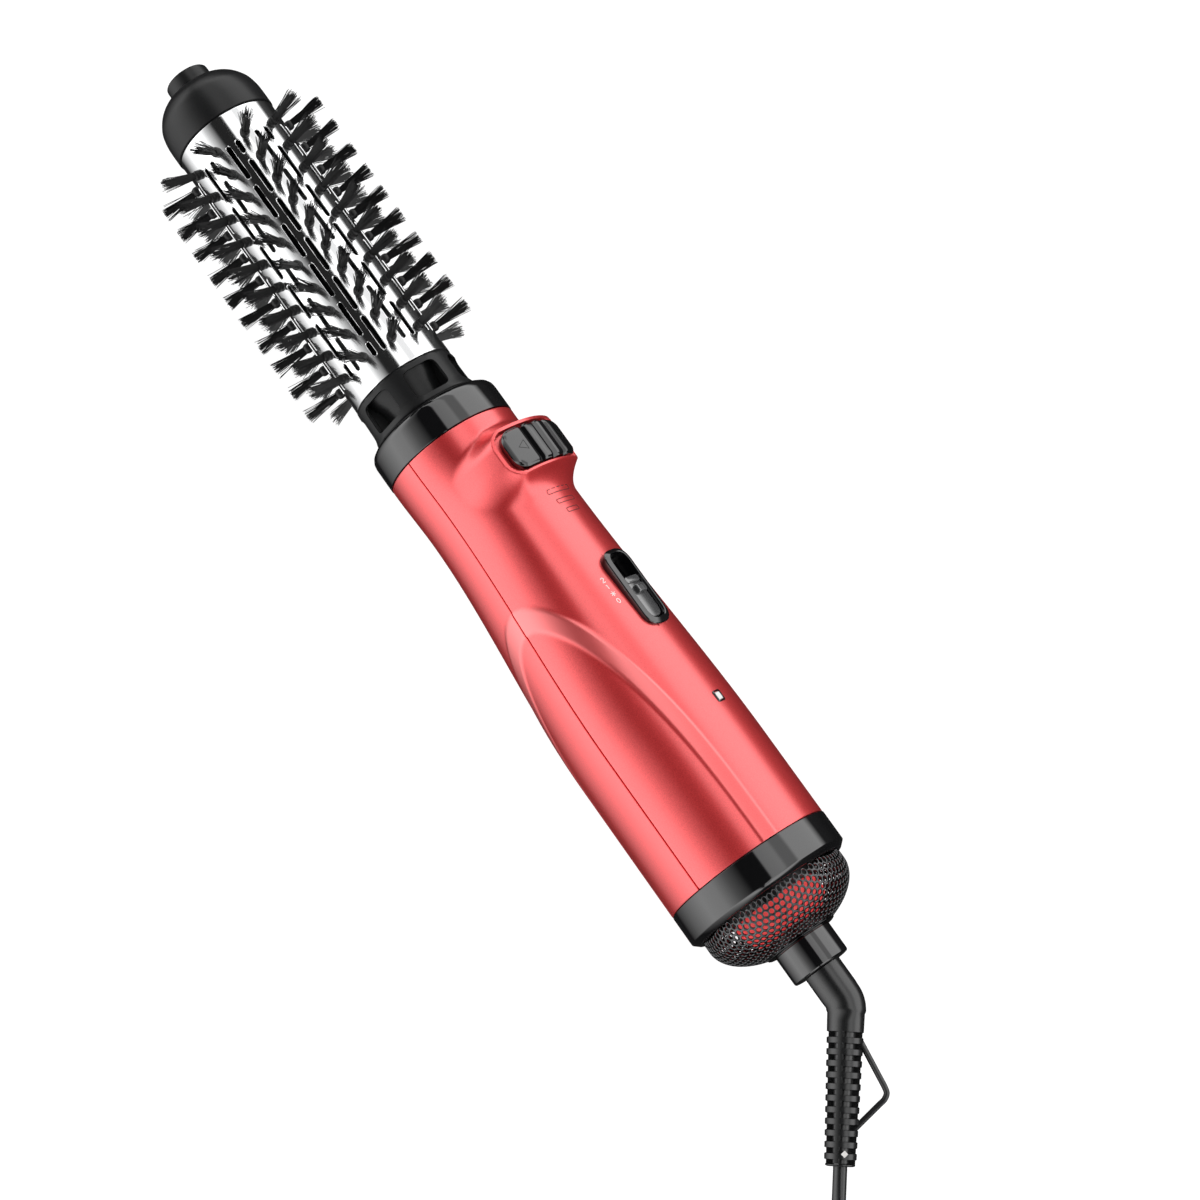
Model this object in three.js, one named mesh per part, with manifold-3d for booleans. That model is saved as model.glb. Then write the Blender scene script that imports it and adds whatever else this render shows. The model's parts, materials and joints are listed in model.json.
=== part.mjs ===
// Hot air styling brush: a blower handle that turns a heated barrel of bristles, with a swivel cord.
// Frame: +Y runs along the brush toward its tip, +Z is up, +X is the side that the controls face.
// The origin lies on the surface that the brush rests on, below the middle of its length.
// Stations along the brush are millimetres from the rear face of the cord sleeve, and turns about
// the brush axis are degrees from +Z toward +X.
import * as THREE from 'three';
import { mergeVertices } from 'three/addons/utils/BufferGeometryUtils.js';
import Module from 'manifold-3d';

const wasm = await Module();
wasm.setup();

// Driving dimensions, in millimetres and degrees
const LENGTH = 380.5;
const GAP = 0.3;
const POD_TURN = 55;
const WALL = 2;

const BARREL_RADIUS = 19;
const BARREL_WALL = 1.1;
const BARREL = [243.5, 354.2];
const SLOT_ZONE = [251.7, 346.1];
const SLOT = { length: 13.7, width: 1.8, pitch: 16.8 };

const COLUMNS = 10;
const RINGS = 10;
const COLUMN_TURN = 360 / COLUMNS;
const FIRST_RING = 254;
const RING_PITCH = 10;
const TUFT = { root: 1.3, tip: 2.5, tipRadius: 34.2 };
const RAIL = { halfWidth: 2.6, inner: 15.4, outer: 17.2, from: 250.6, to: 347 };

const REAR_RING = { radius: 30.3, from: 28.6, to: 41.3 };
const SHELL = [41.6, 214.1];
const FRONT_RING = { radius: 24.65, from: 214.4, to: 228 };
const DOME = { centre: 2, radius: 27.1, depth: 14.9, mouth: 10.9, from: 25.2, to: 28.3, wall: 1 };
const SLEEVE = { radius: 10.5, length: 11, bore: 5.3 };

const CONTROL = { inner: 31, outer: 34.3, turn: 29, from: 187, to: 201.5 };
const BEZEL = { halfWidth: 6.5, from: 120.7, to: 150.8, top: 30, wellHalf: 4.25, well: [123.2, 149.1] };
const SLIDER = { halfWidth: 3.95, from: 123.5, to: 140.2, nib: 134.5 };
const LENS = { station: 90.1, halfWidth: 1.35, halfLength: 1.5 };

const MODULE = 0.6;
const PINION_TEETH = 10;
const GEAR_TEETH = 30;
const GEAR_CENTRES = (MODULE * (PINION_TEETH + GEAR_TEETH)) / 2;

const CORD_RADIUS = 2.3;
const RELIEF = { corner: -13.5, radius: 6.6, length: 52.5, tip: 5.2, heading: -141.85 };
const COIL = { x: -42.5, s: -109.9, mean: 26.1, width: 18.4, low: 1.6, high: 14.5 };
const TIE = { turn: -60, width: 5, thickness: 0.9, gap: 0.6 };
const PLUG = { x: -4.9, s: -151.85, turn: 11.3, length: 33, halfWidth: 13, height: 13 };
const PIN = { radius: 2.4, length: 19, spacing: 19 };

const rad = (degrees) => (degrees * Math.PI) / 180;
const AXIS_HEIGHT = TUFT.tipRadius * Math.cos(rad(18)) + TUFT.tip * Math.sin(rad(18));
const AXIS_START = -LENGTH / 2;

// ---- solids ----

// A closed three.js geometry as a solid that can be cut and joined.
function solid(geometry) {
  const bare = geometry.clone();
  bare.deleteAttribute('normal');
  bare.deleteAttribute('uv');
  const merged = mergeVertices(bare, 1e-4);
  const triangles = [];
  for (let i = 0; i < merged.index.count; i += 3) {
    const [a, b, c] = [0, 1, 2].map((k) => merged.index.getX(i + k));
    if (a !== b && b !== c && c !== a) triangles.push(a, b, c);
  }
  return new wasm.Manifold(new wasm.Mesh({
    numProp: 3,
    vertProperties: merged.attributes.position.array,
    triVerts: new Uint32Array(triangles),
  }));
}

// A solid back as a three.js geometry.
function geometryOf(body) {
  const mesh = body.getMesh();
  const geometry = new THREE.BufferGeometry();
  geometry.setAttribute('position', new THREE.BufferAttribute(mesh.vertProperties, 3));
  geometry.setIndex(new THREE.BufferAttribute(mesh.triVerts, 1));
  return geometry;
}

// A [radius, station] outline turned about the brush axis. The outline closes on itself.
function latheOf(outline, segments) {
  const area = outline.reduce((sum, [r, s], i) => {
    const [r2, s2] = outline[(i + 1) % outline.length];
    return sum + r * s2 - r2 * s;
  }, 0);
  const ordered = area > 0 ? outline : [...outline].reverse();
  const points = [...ordered, ordered[0]].map(([r, s]) => new THREE.Vector2(r, s));
  return new THREE.LatheGeometry(points, segments);
}
const turned = (outline, segments = 40) => solid(latheOf(outline, segments));
const tube = (inner, outer, from, to, segments = 40) =>
  turned([[inner, from], [outer, from], [outer, to], [inner, to]], segments);
const rod = (radius, from, to, segments = 24) => tube(0, radius, from, to, segments);

// A flat [x, z] outline carried along the brush axis between two stations.
function prism(outline, from, to) {
  const shape = new THREE.Shape(outline.map(([x, z]) => new THREE.Vector2(x, z)));
  const geometry = new THREE.ExtrudeGeometry(shape, { depth: to - from, bevelEnabled: false });
  return solid(geometry.rotateX(Math.PI / 2).translate(0, to, 0));
}

function box(xs, ss, zs) {
  const size = [xs, ss, zs].map(([a, b]) => b - a);
  const middle = [xs, ss, zs].map(([a, b]) => (a + b) / 2);
  return solid(new THREE.BoxGeometry(...size).translate(...middle));
}

// A cylinder standing away from the axis (along the local +Z) between two heights.
function post(radius, x, s, low, high, { sides = 12, topRadius = radius } = {}) {
  const geometry = new THREE.CylinderGeometry(topRadius, radius, high - low, sides);
  return solid(geometry.rotateY(Math.PI / 2).rotateX(Math.PI / 2).translate(x, s, (low + high) / 2));
}

const aboutAxis = (body, degrees) => body.rotate([0, degrees, 0]);
const toPod = (body) => aboutAxis(body, POD_TURN);
const onCircle = (radius, degrees) => [radius * Math.sin(rad(degrees)), radius * Math.cos(rad(degrees))];

// Part of a ring: between two radii, two turns and two stations.
function arc(inner, outer, fromTurn, toTurn, from, to, steps = 8) {
  const turns = Array.from({ length: steps + 1 }, (_, i) => fromTurn + ((toTurn - fromTurn) * i) / steps);
  const outline = [
    ...turns.map((t) => onCircle(outer, t)),
    ...turns.reverse().map((t) => onCircle(inner, t)),
  ];
  return prism(outline, from, to);
}

const joined = (bodies) => bodies.reduce((all, body) => all.add(body));
const cutBy = (body, tools) => body.subtract(joined(tools));
const series = (count, make) => Array.from({ length: count }, (_, i) => make(i));

// ---- casing ----

const smooth = (a, b, value) => {
  const t = Math.min(1, Math.max(0, (value - a) / (b - a)));
  return t * t * (3 - 2 * t);
};

// How far the red casing stands from the brush axis, by station and by turn away from the pod.
function casingRadius(station, podTurn) {
  const away = Math.abs(podTurn);
  const under = 30 - 6.2 * smooth(94, 190, station) + 0.7 * smooth(190, 214, station);
  const top = 30.1 - 3.6 * smooth(74, 184, station) - 2 * smooth(184, 210, station);
  const body = THREE.MathUtils.lerp(top, under, smooth(40, 90, away));
  const pod = smooth(178, 185, station) * (1 - smooth(203.5, 209, station)) * (1 - smooth(33.5, 58, away));
  return THREE.MathUtils.lerp(body, 33.4, pod);
}

// The casing's volume, a given depth inside its outer skin.
function casingSolid(depth, from, to) {
  const middle = [94, 121, 142, 160, 177, 181.5, 185, 203.5, 209];
  const stations = [from, ...middle, to];
  const outline = [[0, from], ...stations.map((s) => [1, s]), [0, to]];
  const geometry = latheOf(outline, 40);
  const place = geometry.attributes.position;
  for (let i = 0; i < place.count; i += 1) {
    const [x, s, z] = [place.getX(i), place.getY(i), place.getZ(i)];
    const turn = THREE.MathUtils.radToDeg(Math.atan2(x, z));
    const radius = casingRadius(s, turn) - depth;
    place.setXYZ(i, x * radius, s, z * radius);
  }
  return solid(geometry);
}

const SCREWS = [[-21.5, 52], [21.5, 52], [-21.3, 108], [21.3, 108]];

// One half of the casing, with its screw posts. The upper half holds the controls.
function casingHalf(upper) {
  const hollow = casingSolid(WALL, SHELL[0] - 1, SHELL[1] + 1);
  const outside = casingSolid(0, ...SHELL);
  const side = upper ? [GAP / 2, 40] : [-40, -GAP / 2];
  const half = box([-40, 40], [SHELL[0] - 5, SHELL[1] + 5], side);
  const posts = joined(SCREWS.map(([x, s]) => post(3, x, s, ...side, { sides: 8 })));
  return outside.subtract(hollow).add(posts.intersect(casingSolid(1, ...SHELL))).intersect(half);
}

function upperShell() {
  const bezelHole = box(
    [-BEZEL.halfWidth - GAP, BEZEL.halfWidth + GAP],
    [BEZEL.from - GAP, BEZEL.to + GAP],
    [15, 40],
  );
  const pocket = arc(25, 40, -33, 33, CONTROL.from - 0.4, CONTROL.to + 0.4, 6);
  const window = box(
    [-LENS.halfWidth - GAP, LENS.halfWidth + GAP],
    [LENS.station - LENS.halfLength - GAP, LENS.station + LENS.halfLength + GAP],
    [20, 40],
  );
  const threads = SCREWS.map(([x, s]) => post(1.7, x, s, -2, 8, { sides: 6 }));
  return toPod(cutBy(casingHalf(true), [bezelHole, pocket, window, ...threads]));
}

function lowerShell() {
  const holes = SCREWS.flatMap(([x, s]) => [
    post(1.7, x, s, -30, 2, { sides: 6 }),
    post(2.9, x, s, -32, -10, { sides: 8 }),
  ]);
  return toPod(cutBy(casingHalf(false), holes));
}

function casingScrew([x, s]) {
  const head = post(2.5, x, s, -12, -10.3, { sides: 8 });
  return toPod(head.add(post(1.4, x, s, -11, 6, { sides: 6 })));
}

function rearRing() {
  const { radius, from, to } = REAR_RING;
  return turned([
    [26.2, from], [27.6, from], [radius, from + 2], [radius, to],
    [27.6, to], [27.6, to + 4.5], [26.2, to + 4.5],
  ], 36);
}

function frontRing() {
  const { radius, from, to } = FRONT_RING;
  const shoulder = series(3, (i) => {
    const bend = rad(45 * i);
    return [radius - 3.3 + 3.3 * Math.cos(bend), to - 3.5 + 3.3 * Math.sin(bend)];
  });
  return turned([
    [20.4, from - 6], [22, from - 6], [22, from], [radius, from], ...shoulder, [20.4, to - 0.2],
  ], 32);
}

// The domed rear cover that air is drawn through.
function domeOutline(inset) {
  const { centre, radius, depth, mouth, from, to } = DOME;
  const reach = radius - centre;
  const first = Math.asin((mouth - centre) / reach);
  const bend = series(5, (i) => first + ((Math.PI / 2 - first) * i) / 4);
  const curve = bend.map((t) => [
    centre + (reach - inset) * Math.sin(t),
    from - (depth - inset) * Math.cos(t),
  ]);
  return [...curve, [radius - inset, to]];
}

function intakeGrille() {
  const shell = turned([...domeOutline(0), ...domeOutline(DOME.wall).reverse()], 28);
  const rows = [[7, 34], [14, 52], [14, 70]];
  const holes = rows.flatMap(([count, slope], row) => series(count, (i) => {
    const hole = post(1.5, 0, 0, 8, 40, { sides: 4 }).rotate([90 - slope, 0, 0]);
    return aboutAxis(hole.translate([0, DOME.from - 4, 0]), (360 / count) * (i + row / 2));
  }));
  return cutBy(shell, holes);
}

function cordSleeve() {
  const { radius, length, bore } = SLEEVE;
  return turned([
    [bore, 0], [radius - 0.8, 0], [radius, 0.8], [radius, length], [9.2, length],
    [9.2, 20], [bore, 20],
  ], 24);
}

// ---- controls, built with the pod pointing up and then turned to its side ----

function rotateControl() {
  const { inner, outer, turn, from, to } = CONTROL;
  const saddle = arc(inner, outer, -turn, turn, from, to, 12);
  const grooves = [-5.5, 0, 5.5].map((t) => arc(outer - 0.8, outer + 1, t - 1.2, t + 1.2, from - 1, to + 1, 1));
  const stem = arc(26, inner + 1, -3, 3, from + 3, to - 3, 1);
  return toPod(cutBy(saddle, grooves).add(stem));
}

function controlBed() {
  const { inner, from, to } = CONTROL;
  const bed = arc(28.6, inner - GAP, -29, 29, from + 1, to - 1, 6);
  return toPod(bed.subtract(arc(20, 40, -7, 7, from + 2, to - 2, 1)));
}

function switchBezel() {
  const { halfWidth, wellHalf, well, from, to, top } = BEZEL;
  const frame = box([-halfWidth, halfWidth], [from, to], [24.6, top]);
  return toPod(frame.subtract(box([-wellHalf, wellHalf], well, [20, 40])));
}

function powerSlider() {
  const { halfWidth, from, to, nib } = SLIDER;
  const plate = box([-halfWidth, halfWidth], [from, to], [24.8, 27.2]);
  const grip = box([-2.25, 2.25], [nib - 1.5, nib + 1.5], [27, 30.8]);
  return toPod(plate.add(grip));
}

function indicatorLens() {
  const { halfWidth, halfLength, station } = LENS;
  const ss = [station - halfLength, station + halfLength];
  return toPod(box([-halfWidth, halfWidth], ss, [27, 30.2]));
}

// ---- blower, drive and heater inside the handle ----

function motorBell() {
  return turned([[9.6, 15.5], [13, 17], [19, 23], [24.3, 33], [24.3, 38], [22.8, 38], [17.8, 24.2],
    [12.2, 18.6], [9.6, 17.2]], 24);
}

function impeller() {
  const hub = rod(7, 92, 104, 18);
  const plate = rod(21, 92, 93.5, 30);
  const blade = box([-0.6, 0.6], [93, 103], [6, 20.5]).translate([2.5, 0, 0]);
  const blades = series(9, (i) => aboutAxis(blade, 40 * i));
  return joined([hub, plate, ...blades]).subtract(rod(1.8, 90, 106, 10));
}

function gearOutline(teeth, phase) {
  const pitch = (MODULE * teeth) / 2;
  const step = 360 / teeth;
  return series(teeth, (i) => {
    const middle = step * (i + phase);
    return [
      onCircle(pitch - 0.65, middle - step * 0.34), onCircle(pitch + 0.3, middle - step * 0.14),
      onCircle(pitch + 0.3, middle + step * 0.14), onCircle(pitch - 0.65, middle + step * 0.34),
    ];
  }).flat();
}

const GEAR_STATIONS = [146, 150];
const pinion = () => toPod(
  prism(gearOutline(PINION_TEETH, 0.5), ...GEAR_STATIONS)
    .subtract(rod(1.2, 140, 155, 8))
    .translate([0, 0, -GEAR_CENTRES]),
);
const driveGear = () => toPod(prism(gearOutline(GEAR_TEETH, 0), ...GEAR_STATIONS).subtract(rod(2.8, 140, 155, 12)));
const driveMotor = () => toPod(joined([rod(8, 111, 137.5, 20), rod(0.9, 137, 149.5, 8)])
  .translate([0, 0, -GEAR_CENTRES]));
const motorPlate = () => toPod(cutBy(box([-13, 13], [137.9, 139.9], [-20, 14]), [
  rod(1.3, 130, 150, 8).translate([0, 0, -GEAR_CENTRES]), rod(2.8, 130, 150, 12),
]));

function heaterFormer() {
  const fins = series(6, (i) => aboutAxis(box([-0.5, 0.5], [158, 204], [3.5, 16.2]), 60 * i));
  return cutBy(joined([rod(4.2, 158, 204, 12), ...fins]), [rod(3.1, 150, 210, 12)]);
}

function heaterCoil() {
  const steps = 37;
  const path = new THREE.CatmullRomCurve3(series(steps, (i) => {
    const [x, z] = onCircle(18.6, 40 * i);
    return new THREE.Vector3(x, 162 + (38 * i) / (steps - 1), z);
  }));
  return wire(path, 0.6, 4, steps - 1);
}

function frontHub() {
  const ribs = series(6, (i) => aboutAxis(box([-0.8, 0.8], [222.2, 226.4], [6, 19]), 60 * i + 23));
  return joined([tube(5.4, 7, 221, 227, 12), tube(18.6, 20.1, 221, 227, 28), ...ribs]);
}

const circuitBoard = () => toPod(box([14, 15.6], [106.5, 135], [-10, 10]));
const ionModule = () => toPod(box([-19.5, -12], [112.5, 128], [-6, 6]));
const thermostat = () => toPod(box([-4, 4], [205, 210], [8, 12]));
const slideSwitch = () => toPod(box([-5, 5], [122, 149.5], [17, 24.2]));
const rotateSwitch = () => toPod(box([-4, 4], [189, 199.5], [22, 25.6]));

// ---- rotating head ----

function headBase() {
  const cone = turned([[16.4, 228.3], [20.3, 228.3], [19.6, 231.5], [19.35, 243.2], [17.5, 243.2],
    [17.5, 247], [16.4, 247]], 30);
  const windows = series(6, (i) => arc(14, 24, 60 * i + 3, 60 * i + 43, 230, 241, 2));
  const spokes = series(6, (i) => aboutAxis(box([-0.8, 0.8], [242, 246], [4, 17]), 60 * i + 53));
  return joined([cutBy(cone, windows), tube(2.8, 5, 240, 248, 10), ...spokes]);
}

// The stretches of a row of air slots between two bristle columns. Every other row starts late.
function slotSpans(late) {
  const first = SLOT_ZONE[0] + (late ? SLOT.pitch / 2 : 0);
  const count = Math.ceil((SLOT_ZONE[1] - 5 - first) / SLOT.pitch);
  return series(count, (i) => {
    const start = first + SLOT.pitch * i;
    return [start, Math.min(start + SLOT.length, SLOT_ZONE[1])];
  });
}

function brushBarrel() {
  const halfHole = TUFT.root + 0.5;
  const holes = series(RINGS, (i) => {
    const s = FIRST_RING + RING_PITCH * i;
    return box([-halfHole, halfHole], [s - halfHole, s + halfHole], [10, 24]);
  });
  const slot = (span) => box([-SLOT.width / 2, SLOT.width / 2], span, [10, 24]);
  const cuts = series(COLUMNS, (i) => [
    ...holes.map((hole) => aboutAxis(hole, COLUMN_TURN * (i + 0.5))),
    ...slotSpans(i % 2).map((span) => aboutAxis(slot(span), COLUMN_TURN * i)),
  ]).flat();
  const wall = tube(BARREL_RADIUS - BARREL_WALL, BARREL_RADIUS, ...BARREL, 2 * COLUMNS);
  return cutBy(aboutAxis(wall, COLUMN_TURN / 4), cuts);
}

function bristleStrip(column) {
  const rail = box([-RAIL.halfWidth, RAIL.halfWidth], [RAIL.from, RAIL.to], [RAIL.inner, RAIL.outer]);
  const tufts = series(RINGS, (i) => post(TUFT.root, 0, FIRST_RING + RING_PITCH * i, 16, TUFT.tipRadius,
    { sides: 4, topRadius: TUFT.tip }));
  return aboutAxis(joined([rail, ...tufts]), COLUMN_TURN * (column + 0.5));
}

function endCap() {
  const bend = series(4, (i) => {
    const t = rad(6 + 25 * i);
    return [12.4 + 7 * Math.cos(t), 362.3 + 12 * Math.sin(t)];
  });
  return turned([
    [16, 347.6], [17.3, 347.6], [17.3, 354.5], [19.4, 354.5], [19.4, 362.3], ...bend, [4.4, 374.3],
    [4.4, 371.5], [11, 371.5], [16, 363],
  ], 28);
}

const tipKnob = () => turned([
  [0, 368], [4, 368], [4, 374.6], [8.2, 374.6], [8.2, LENGTH - 1], [7.2, LENGTH], [0, LENGTH],
], 24);

// ---- cord ----

// A closed wire of regular section along a path.
function wire(path, radius, sides, steps) {
  const section = new THREE.Shape(series(sides, (i) => {
    const [x, y] = onCircle(radius, (360 / sides) * (i + 0.5));
    return new THREE.Vector2(x, y);
  }));
  return solid(new THREE.ExtrudeGeometry(section, { extrudePath: path, steps, bevelEnabled: false }));
}

// The direction that the cord leaves in, level and turned back from the brush axis.
const EXIT = new THREE.Vector3(Math.sin(rad(RELIEF.heading)), Math.cos(rad(RELIEF.heading)), 0);
const reliefPoint = (along, aside = 0) => new THREE.Vector3(
  EXIT.x * along - EXIT.y * aside,
  RELIEF.corner + EXIT.y * along + EXIT.x * aside,
  0,
);

const swivelShaft = () => turned([
  [0, 0], [4.9, 0], [4.9, 20.4], [8, 20.4], [8, 23], [0, 23],
], 24);

function strainRelief() {
  const { radius, corner, length, tip } = RELIEF;
  const neck = rod(radius, corner, -GAP, 16).add(solid(new THREE.SphereGeometry(radius, 16, 8)
    .rotateX(Math.PI / 2).translate(0, corner, 0)));
  const arm = new THREE.CylinderGeometry(tip, radius - 0.4, length, 16).translate(0, length / 2, 0);
  arm.rotateZ(-rad(RELIEF.heading)).translate(0, corner, 0);
  return neck.add(solid(arm));
}

function hangLoop() {
  const path = new THREE.CatmullRomCurve3([
    reliefPoint(13.6, 7.2), reliefPoint(14.6, 11.4), reliefPoint(20.5, 14.4), reliefPoint(28.8, 15),
    reliefPoint(36, 12.6), reliefPoint(38.9, 9.4), reliefPoint(38.8, 6.9),
  ]);
  return wire(path, 1, 6, 24);
}

// The lying parts of the cord are given in the brush's own frame, with heights from the surface.
const resting = (points) => new THREE.CatmullRomCurve3(points.map(([x, s, height]) =>
  new THREE.Vector3(x, s, height - AXIS_HEIGHT)));

const CORD_ROUTE = [
  [-32.6, -55.1, 33.3], [-38.6, -62.7, 33], [-44.8, -70.5, 30.4], [-50.9, -78.4, 26],
  [-57.1, -86.2, 21.7], [-63.3, -94.3, 18.4], [-66.9, -100.5, 17.2], [-68.6, -107.2, 17],
];
const LEAD_ROUTE = [
  [-46.4, -147.8, 2.4], [-37.2, -152.6, 2.4], [-27.5, -154.8, 2.6], [-16.8, -154.2, 3.8],
  [-11.2, -153.1, 5.6], [-5.6, -152, 6.5],
];

const cord = () => wire(resting(CORD_ROUTE), CORD_RADIUS, 8, 10);
const plugLead = () => wire(resting(LEAD_ROUTE), CORD_RADIUS, 8, 9);

// The section of the coil's bundle, grown by a margin, as [distance from its middle, height].
function bundle(margin) {
  const { width, low, high } = COIL;
  return series(8, (i) => {
    const t = rad(45 * i + 22.5);
    const grow = 1 / Math.cos(rad(22.5));
    return [
      (width / 2 + margin) * grow * Math.cos(t),
      (low + high) / 2 + ((high - low) / 2 + margin) * grow * Math.sin(t),
    ];
  });
}

function cordCoil() {
  const ring = latheOf(bundle(0).map(([x, h]) => [COIL.mean + x, h]), 24).rotateX(Math.PI / 2);
  return solid(ring.translate(COIL.x, COIL.s, -AXIS_HEIGHT));
}

// A strap round the coil's bundle.
function cordTie() {
  const { turn, width, thickness, gap } = TIE;
  const strap = (margin, from, to) => prism(bundle(margin), from, to);
  const band = strap(gap + thickness, -width / 2, width / 2).subtract(strap(gap, -width, width));
  return band.translate([COIL.mean, 0, -AXIS_HEIGHT]).rotate([0, 0, turn]).translate([COIL.x, COIL.s, 0]);
}

const atPlug = (body) => body.rotate([0, 0, PLUG.turn]).translate([PLUG.x, PLUG.s, -AXIS_HEIGHT]);

function plug() {
  const { length, halfWidth, height } = PLUG;
  const half = [[0, 3.4], [9, 6], [21, halfWidth], [length, halfWidth]];
  const outline = [...half.map(([x, y]) => [x, -y]), ...half.reverse()];
  const shape = new THREE.Shape(outline.map(([x, y]) => new THREE.Vector2(x, y)));
  return atPlug(solid(new THREE.ExtrudeGeometry(shape, { depth: height, bevelEnabled: false })));
}

function plugPin(side) {
  const { radius, length, spacing } = PIN;
  const pin = new THREE.CylinderGeometry(radius, radius, length, 12).rotateZ(Math.PI / 2);
  pin.translate(PLUG.length + GAP + length / 2, (side * spacing) / 2, PLUG.height / 2);
  return atPlug(solid(pin));
}

// ---- the whole brush ----

const brush = new THREE.Group();
brush.position.set(0, AXIS_START, AXIS_HEIGHT);

function add(name, body, colour, roughness = 0.5, metalness = 0) {
  const material = new THREE.MeshStandardMaterial({ color: colour, roughness, metalness });
  const mesh = new THREE.Mesh(geometryOf(body), material);
  mesh.name = name;
  brush.add(mesh);
}

const RED = 0xe0202c;
const BLACK = 0x101012;
const CHARCOAL = 0x2b2c2e;
const STEEL = 0xc8ccd0;
const NYLON = 0xe8e4d8;
const COPPER = 0xb87333;

add('upper_shell', upperShell(), RED, 0.28, 0.3);
add('lower_shell', lowerShell(), RED, 0.28, 0.3);
add('rear_ring', rearRing(), BLACK, 0.12);
add('front_ring', frontRing(), BLACK, 0.12);
add('intake_grille', intakeGrille(), CHARCOAL, 0.4, 0.5);
add('cord_sleeve', cordSleeve(), CHARCOAL, 0.3);
SCREWS.forEach((place, i) => add(`casing_screw_${i + 1}`, casingScrew(place), STEEL, 0.35, 1));

add('rotate_control', rotateControl(), BLACK, 0.12);
add('control_bed', controlBed(), CHARCOAL, 0.5);
add('rotate_switch', rotateSwitch(), BLACK, 0.5);
add('switch_bezel', switchBezel(), BLACK, 0.12);
add('power_slider', powerSlider(), BLACK, 0.2);
add('slide_switch', slideSwitch(), CHARCOAL, 0.6);
add('indicator_lens', indicatorLens(), 0xf4f4f2, 0.2);

add('motor_bell', motorBell(), RED, 0.4);
add('fan_motor', rod(12, 60, 88), STEEL, 0.3, 1);
add('fan_shaft', rod(1.5, 88.3, 106, 10), STEEL, 0.2, 1);
add('impeller', impeller(), BLACK, 0.4);
add('drive_motor', driveMotor(), STEEL, 0.3, 1);
add('motor_plate', motorPlate(), STEEL, 0.4, 1);
add('drive_pinion', pinion(), NYLON, 0.5);
add('drive_gear', driveGear(), NYLON, 0.5);
add('drive_shaft', rod(2.5, 136.8, 250, 14), STEEL, 0.25, 1);
add('shaft_bush', tube(2.8, 5.1, 221, 227, 16), COPPER, 0.4, 1);
add('front_hub', frontHub(), CHARCOAL, 0.6);
add('air_duct', tube(20.4, 21.2, 152, 207, 32), NYLON, 0.6);
add('heater_former', heaterFormer(), 0xcdbb98, 0.7);
add('heater_coil', heaterCoil(), STEEL, 0.4, 1);
add('thermostat', thermostat(), STEEL, 0.4, 1);
add('circuit_board', circuitBoard(), 0x2f6b3a, 0.6);
add('ion_module', ionModule(), BLACK, 0.5);

add('head_base', headBase(), CHARCOAL, 0.6);
add('brush_barrel', brushBarrel(), 0xd9dcde, 0.1, 1);
series(COLUMNS, (i) => add(`bristle_strip_${i + 1}`, bristleStrip(i), BLACK, 0.5));
add('end_cap', endCap(), CHARCOAL, 0.6);
add('tip_knob', tipKnob(), CHARCOAL, 0.6);

add('swivel_shaft', swivelShaft(), CHARCOAL, 0.5);
add('strain_relief', strainRelief(), BLACK, 0.4);
add('hang_loop', hangLoop(), BLACK, 0.4);
add('cord', cord(), BLACK, 0.5);
add('cord_coil', cordCoil(), BLACK, 0.5);
add('cord_tie', cordTie(), BLACK, 0.7);
add('plug_lead', plugLead(), BLACK, 0.5);
add('plug', plug(), BLACK, 0.4);
add('plug_pin_1', plugPin(-1), STEEL, 0.2, 1);
add('plug_pin_2', plugPin(1), STEEL, 0.2, 1);

export default brush;
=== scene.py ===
"""A hot air styling brush: a red blower handle, a polished barrel with ten columns of bristles and a
swivel cord.

Shapes are worked out in brush coordinates, in millimetres: x and z are across the brush, from its
axis, and s is the station along it from the rear face of the cord sleeve. Turns about the axis are
degrees from straight up toward +X.
"""

import json
import math

import bmesh
import bpy
import numpy as np
from mathutils import Matrix, Vector


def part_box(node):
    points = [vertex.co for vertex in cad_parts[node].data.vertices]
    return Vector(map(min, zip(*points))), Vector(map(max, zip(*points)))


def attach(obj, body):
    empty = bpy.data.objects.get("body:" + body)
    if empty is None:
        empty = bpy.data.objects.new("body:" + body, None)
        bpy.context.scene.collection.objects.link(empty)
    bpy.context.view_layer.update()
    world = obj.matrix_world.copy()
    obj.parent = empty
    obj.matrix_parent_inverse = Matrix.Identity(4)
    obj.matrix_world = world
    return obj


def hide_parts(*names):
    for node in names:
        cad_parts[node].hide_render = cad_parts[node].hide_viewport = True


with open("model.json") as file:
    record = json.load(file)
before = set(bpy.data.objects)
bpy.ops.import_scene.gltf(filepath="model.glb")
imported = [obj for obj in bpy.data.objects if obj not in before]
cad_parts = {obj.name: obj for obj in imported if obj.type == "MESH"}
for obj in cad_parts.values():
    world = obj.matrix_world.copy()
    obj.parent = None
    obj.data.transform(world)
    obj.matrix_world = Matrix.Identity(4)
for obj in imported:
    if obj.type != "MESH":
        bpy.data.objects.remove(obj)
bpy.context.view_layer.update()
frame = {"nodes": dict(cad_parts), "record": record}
RANDOM = np.random.default_rng(7)

# Where the brush lies in the frame: metres, apart from the tip's station in millimetres
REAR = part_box("cord_sleeve")[0][1]
AXIS = (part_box("rear_ring")[0][2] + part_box("rear_ring")[1][2]) / 2
TIP = (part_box("tip_knob")[1][1] - REAR) * 1000

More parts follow.
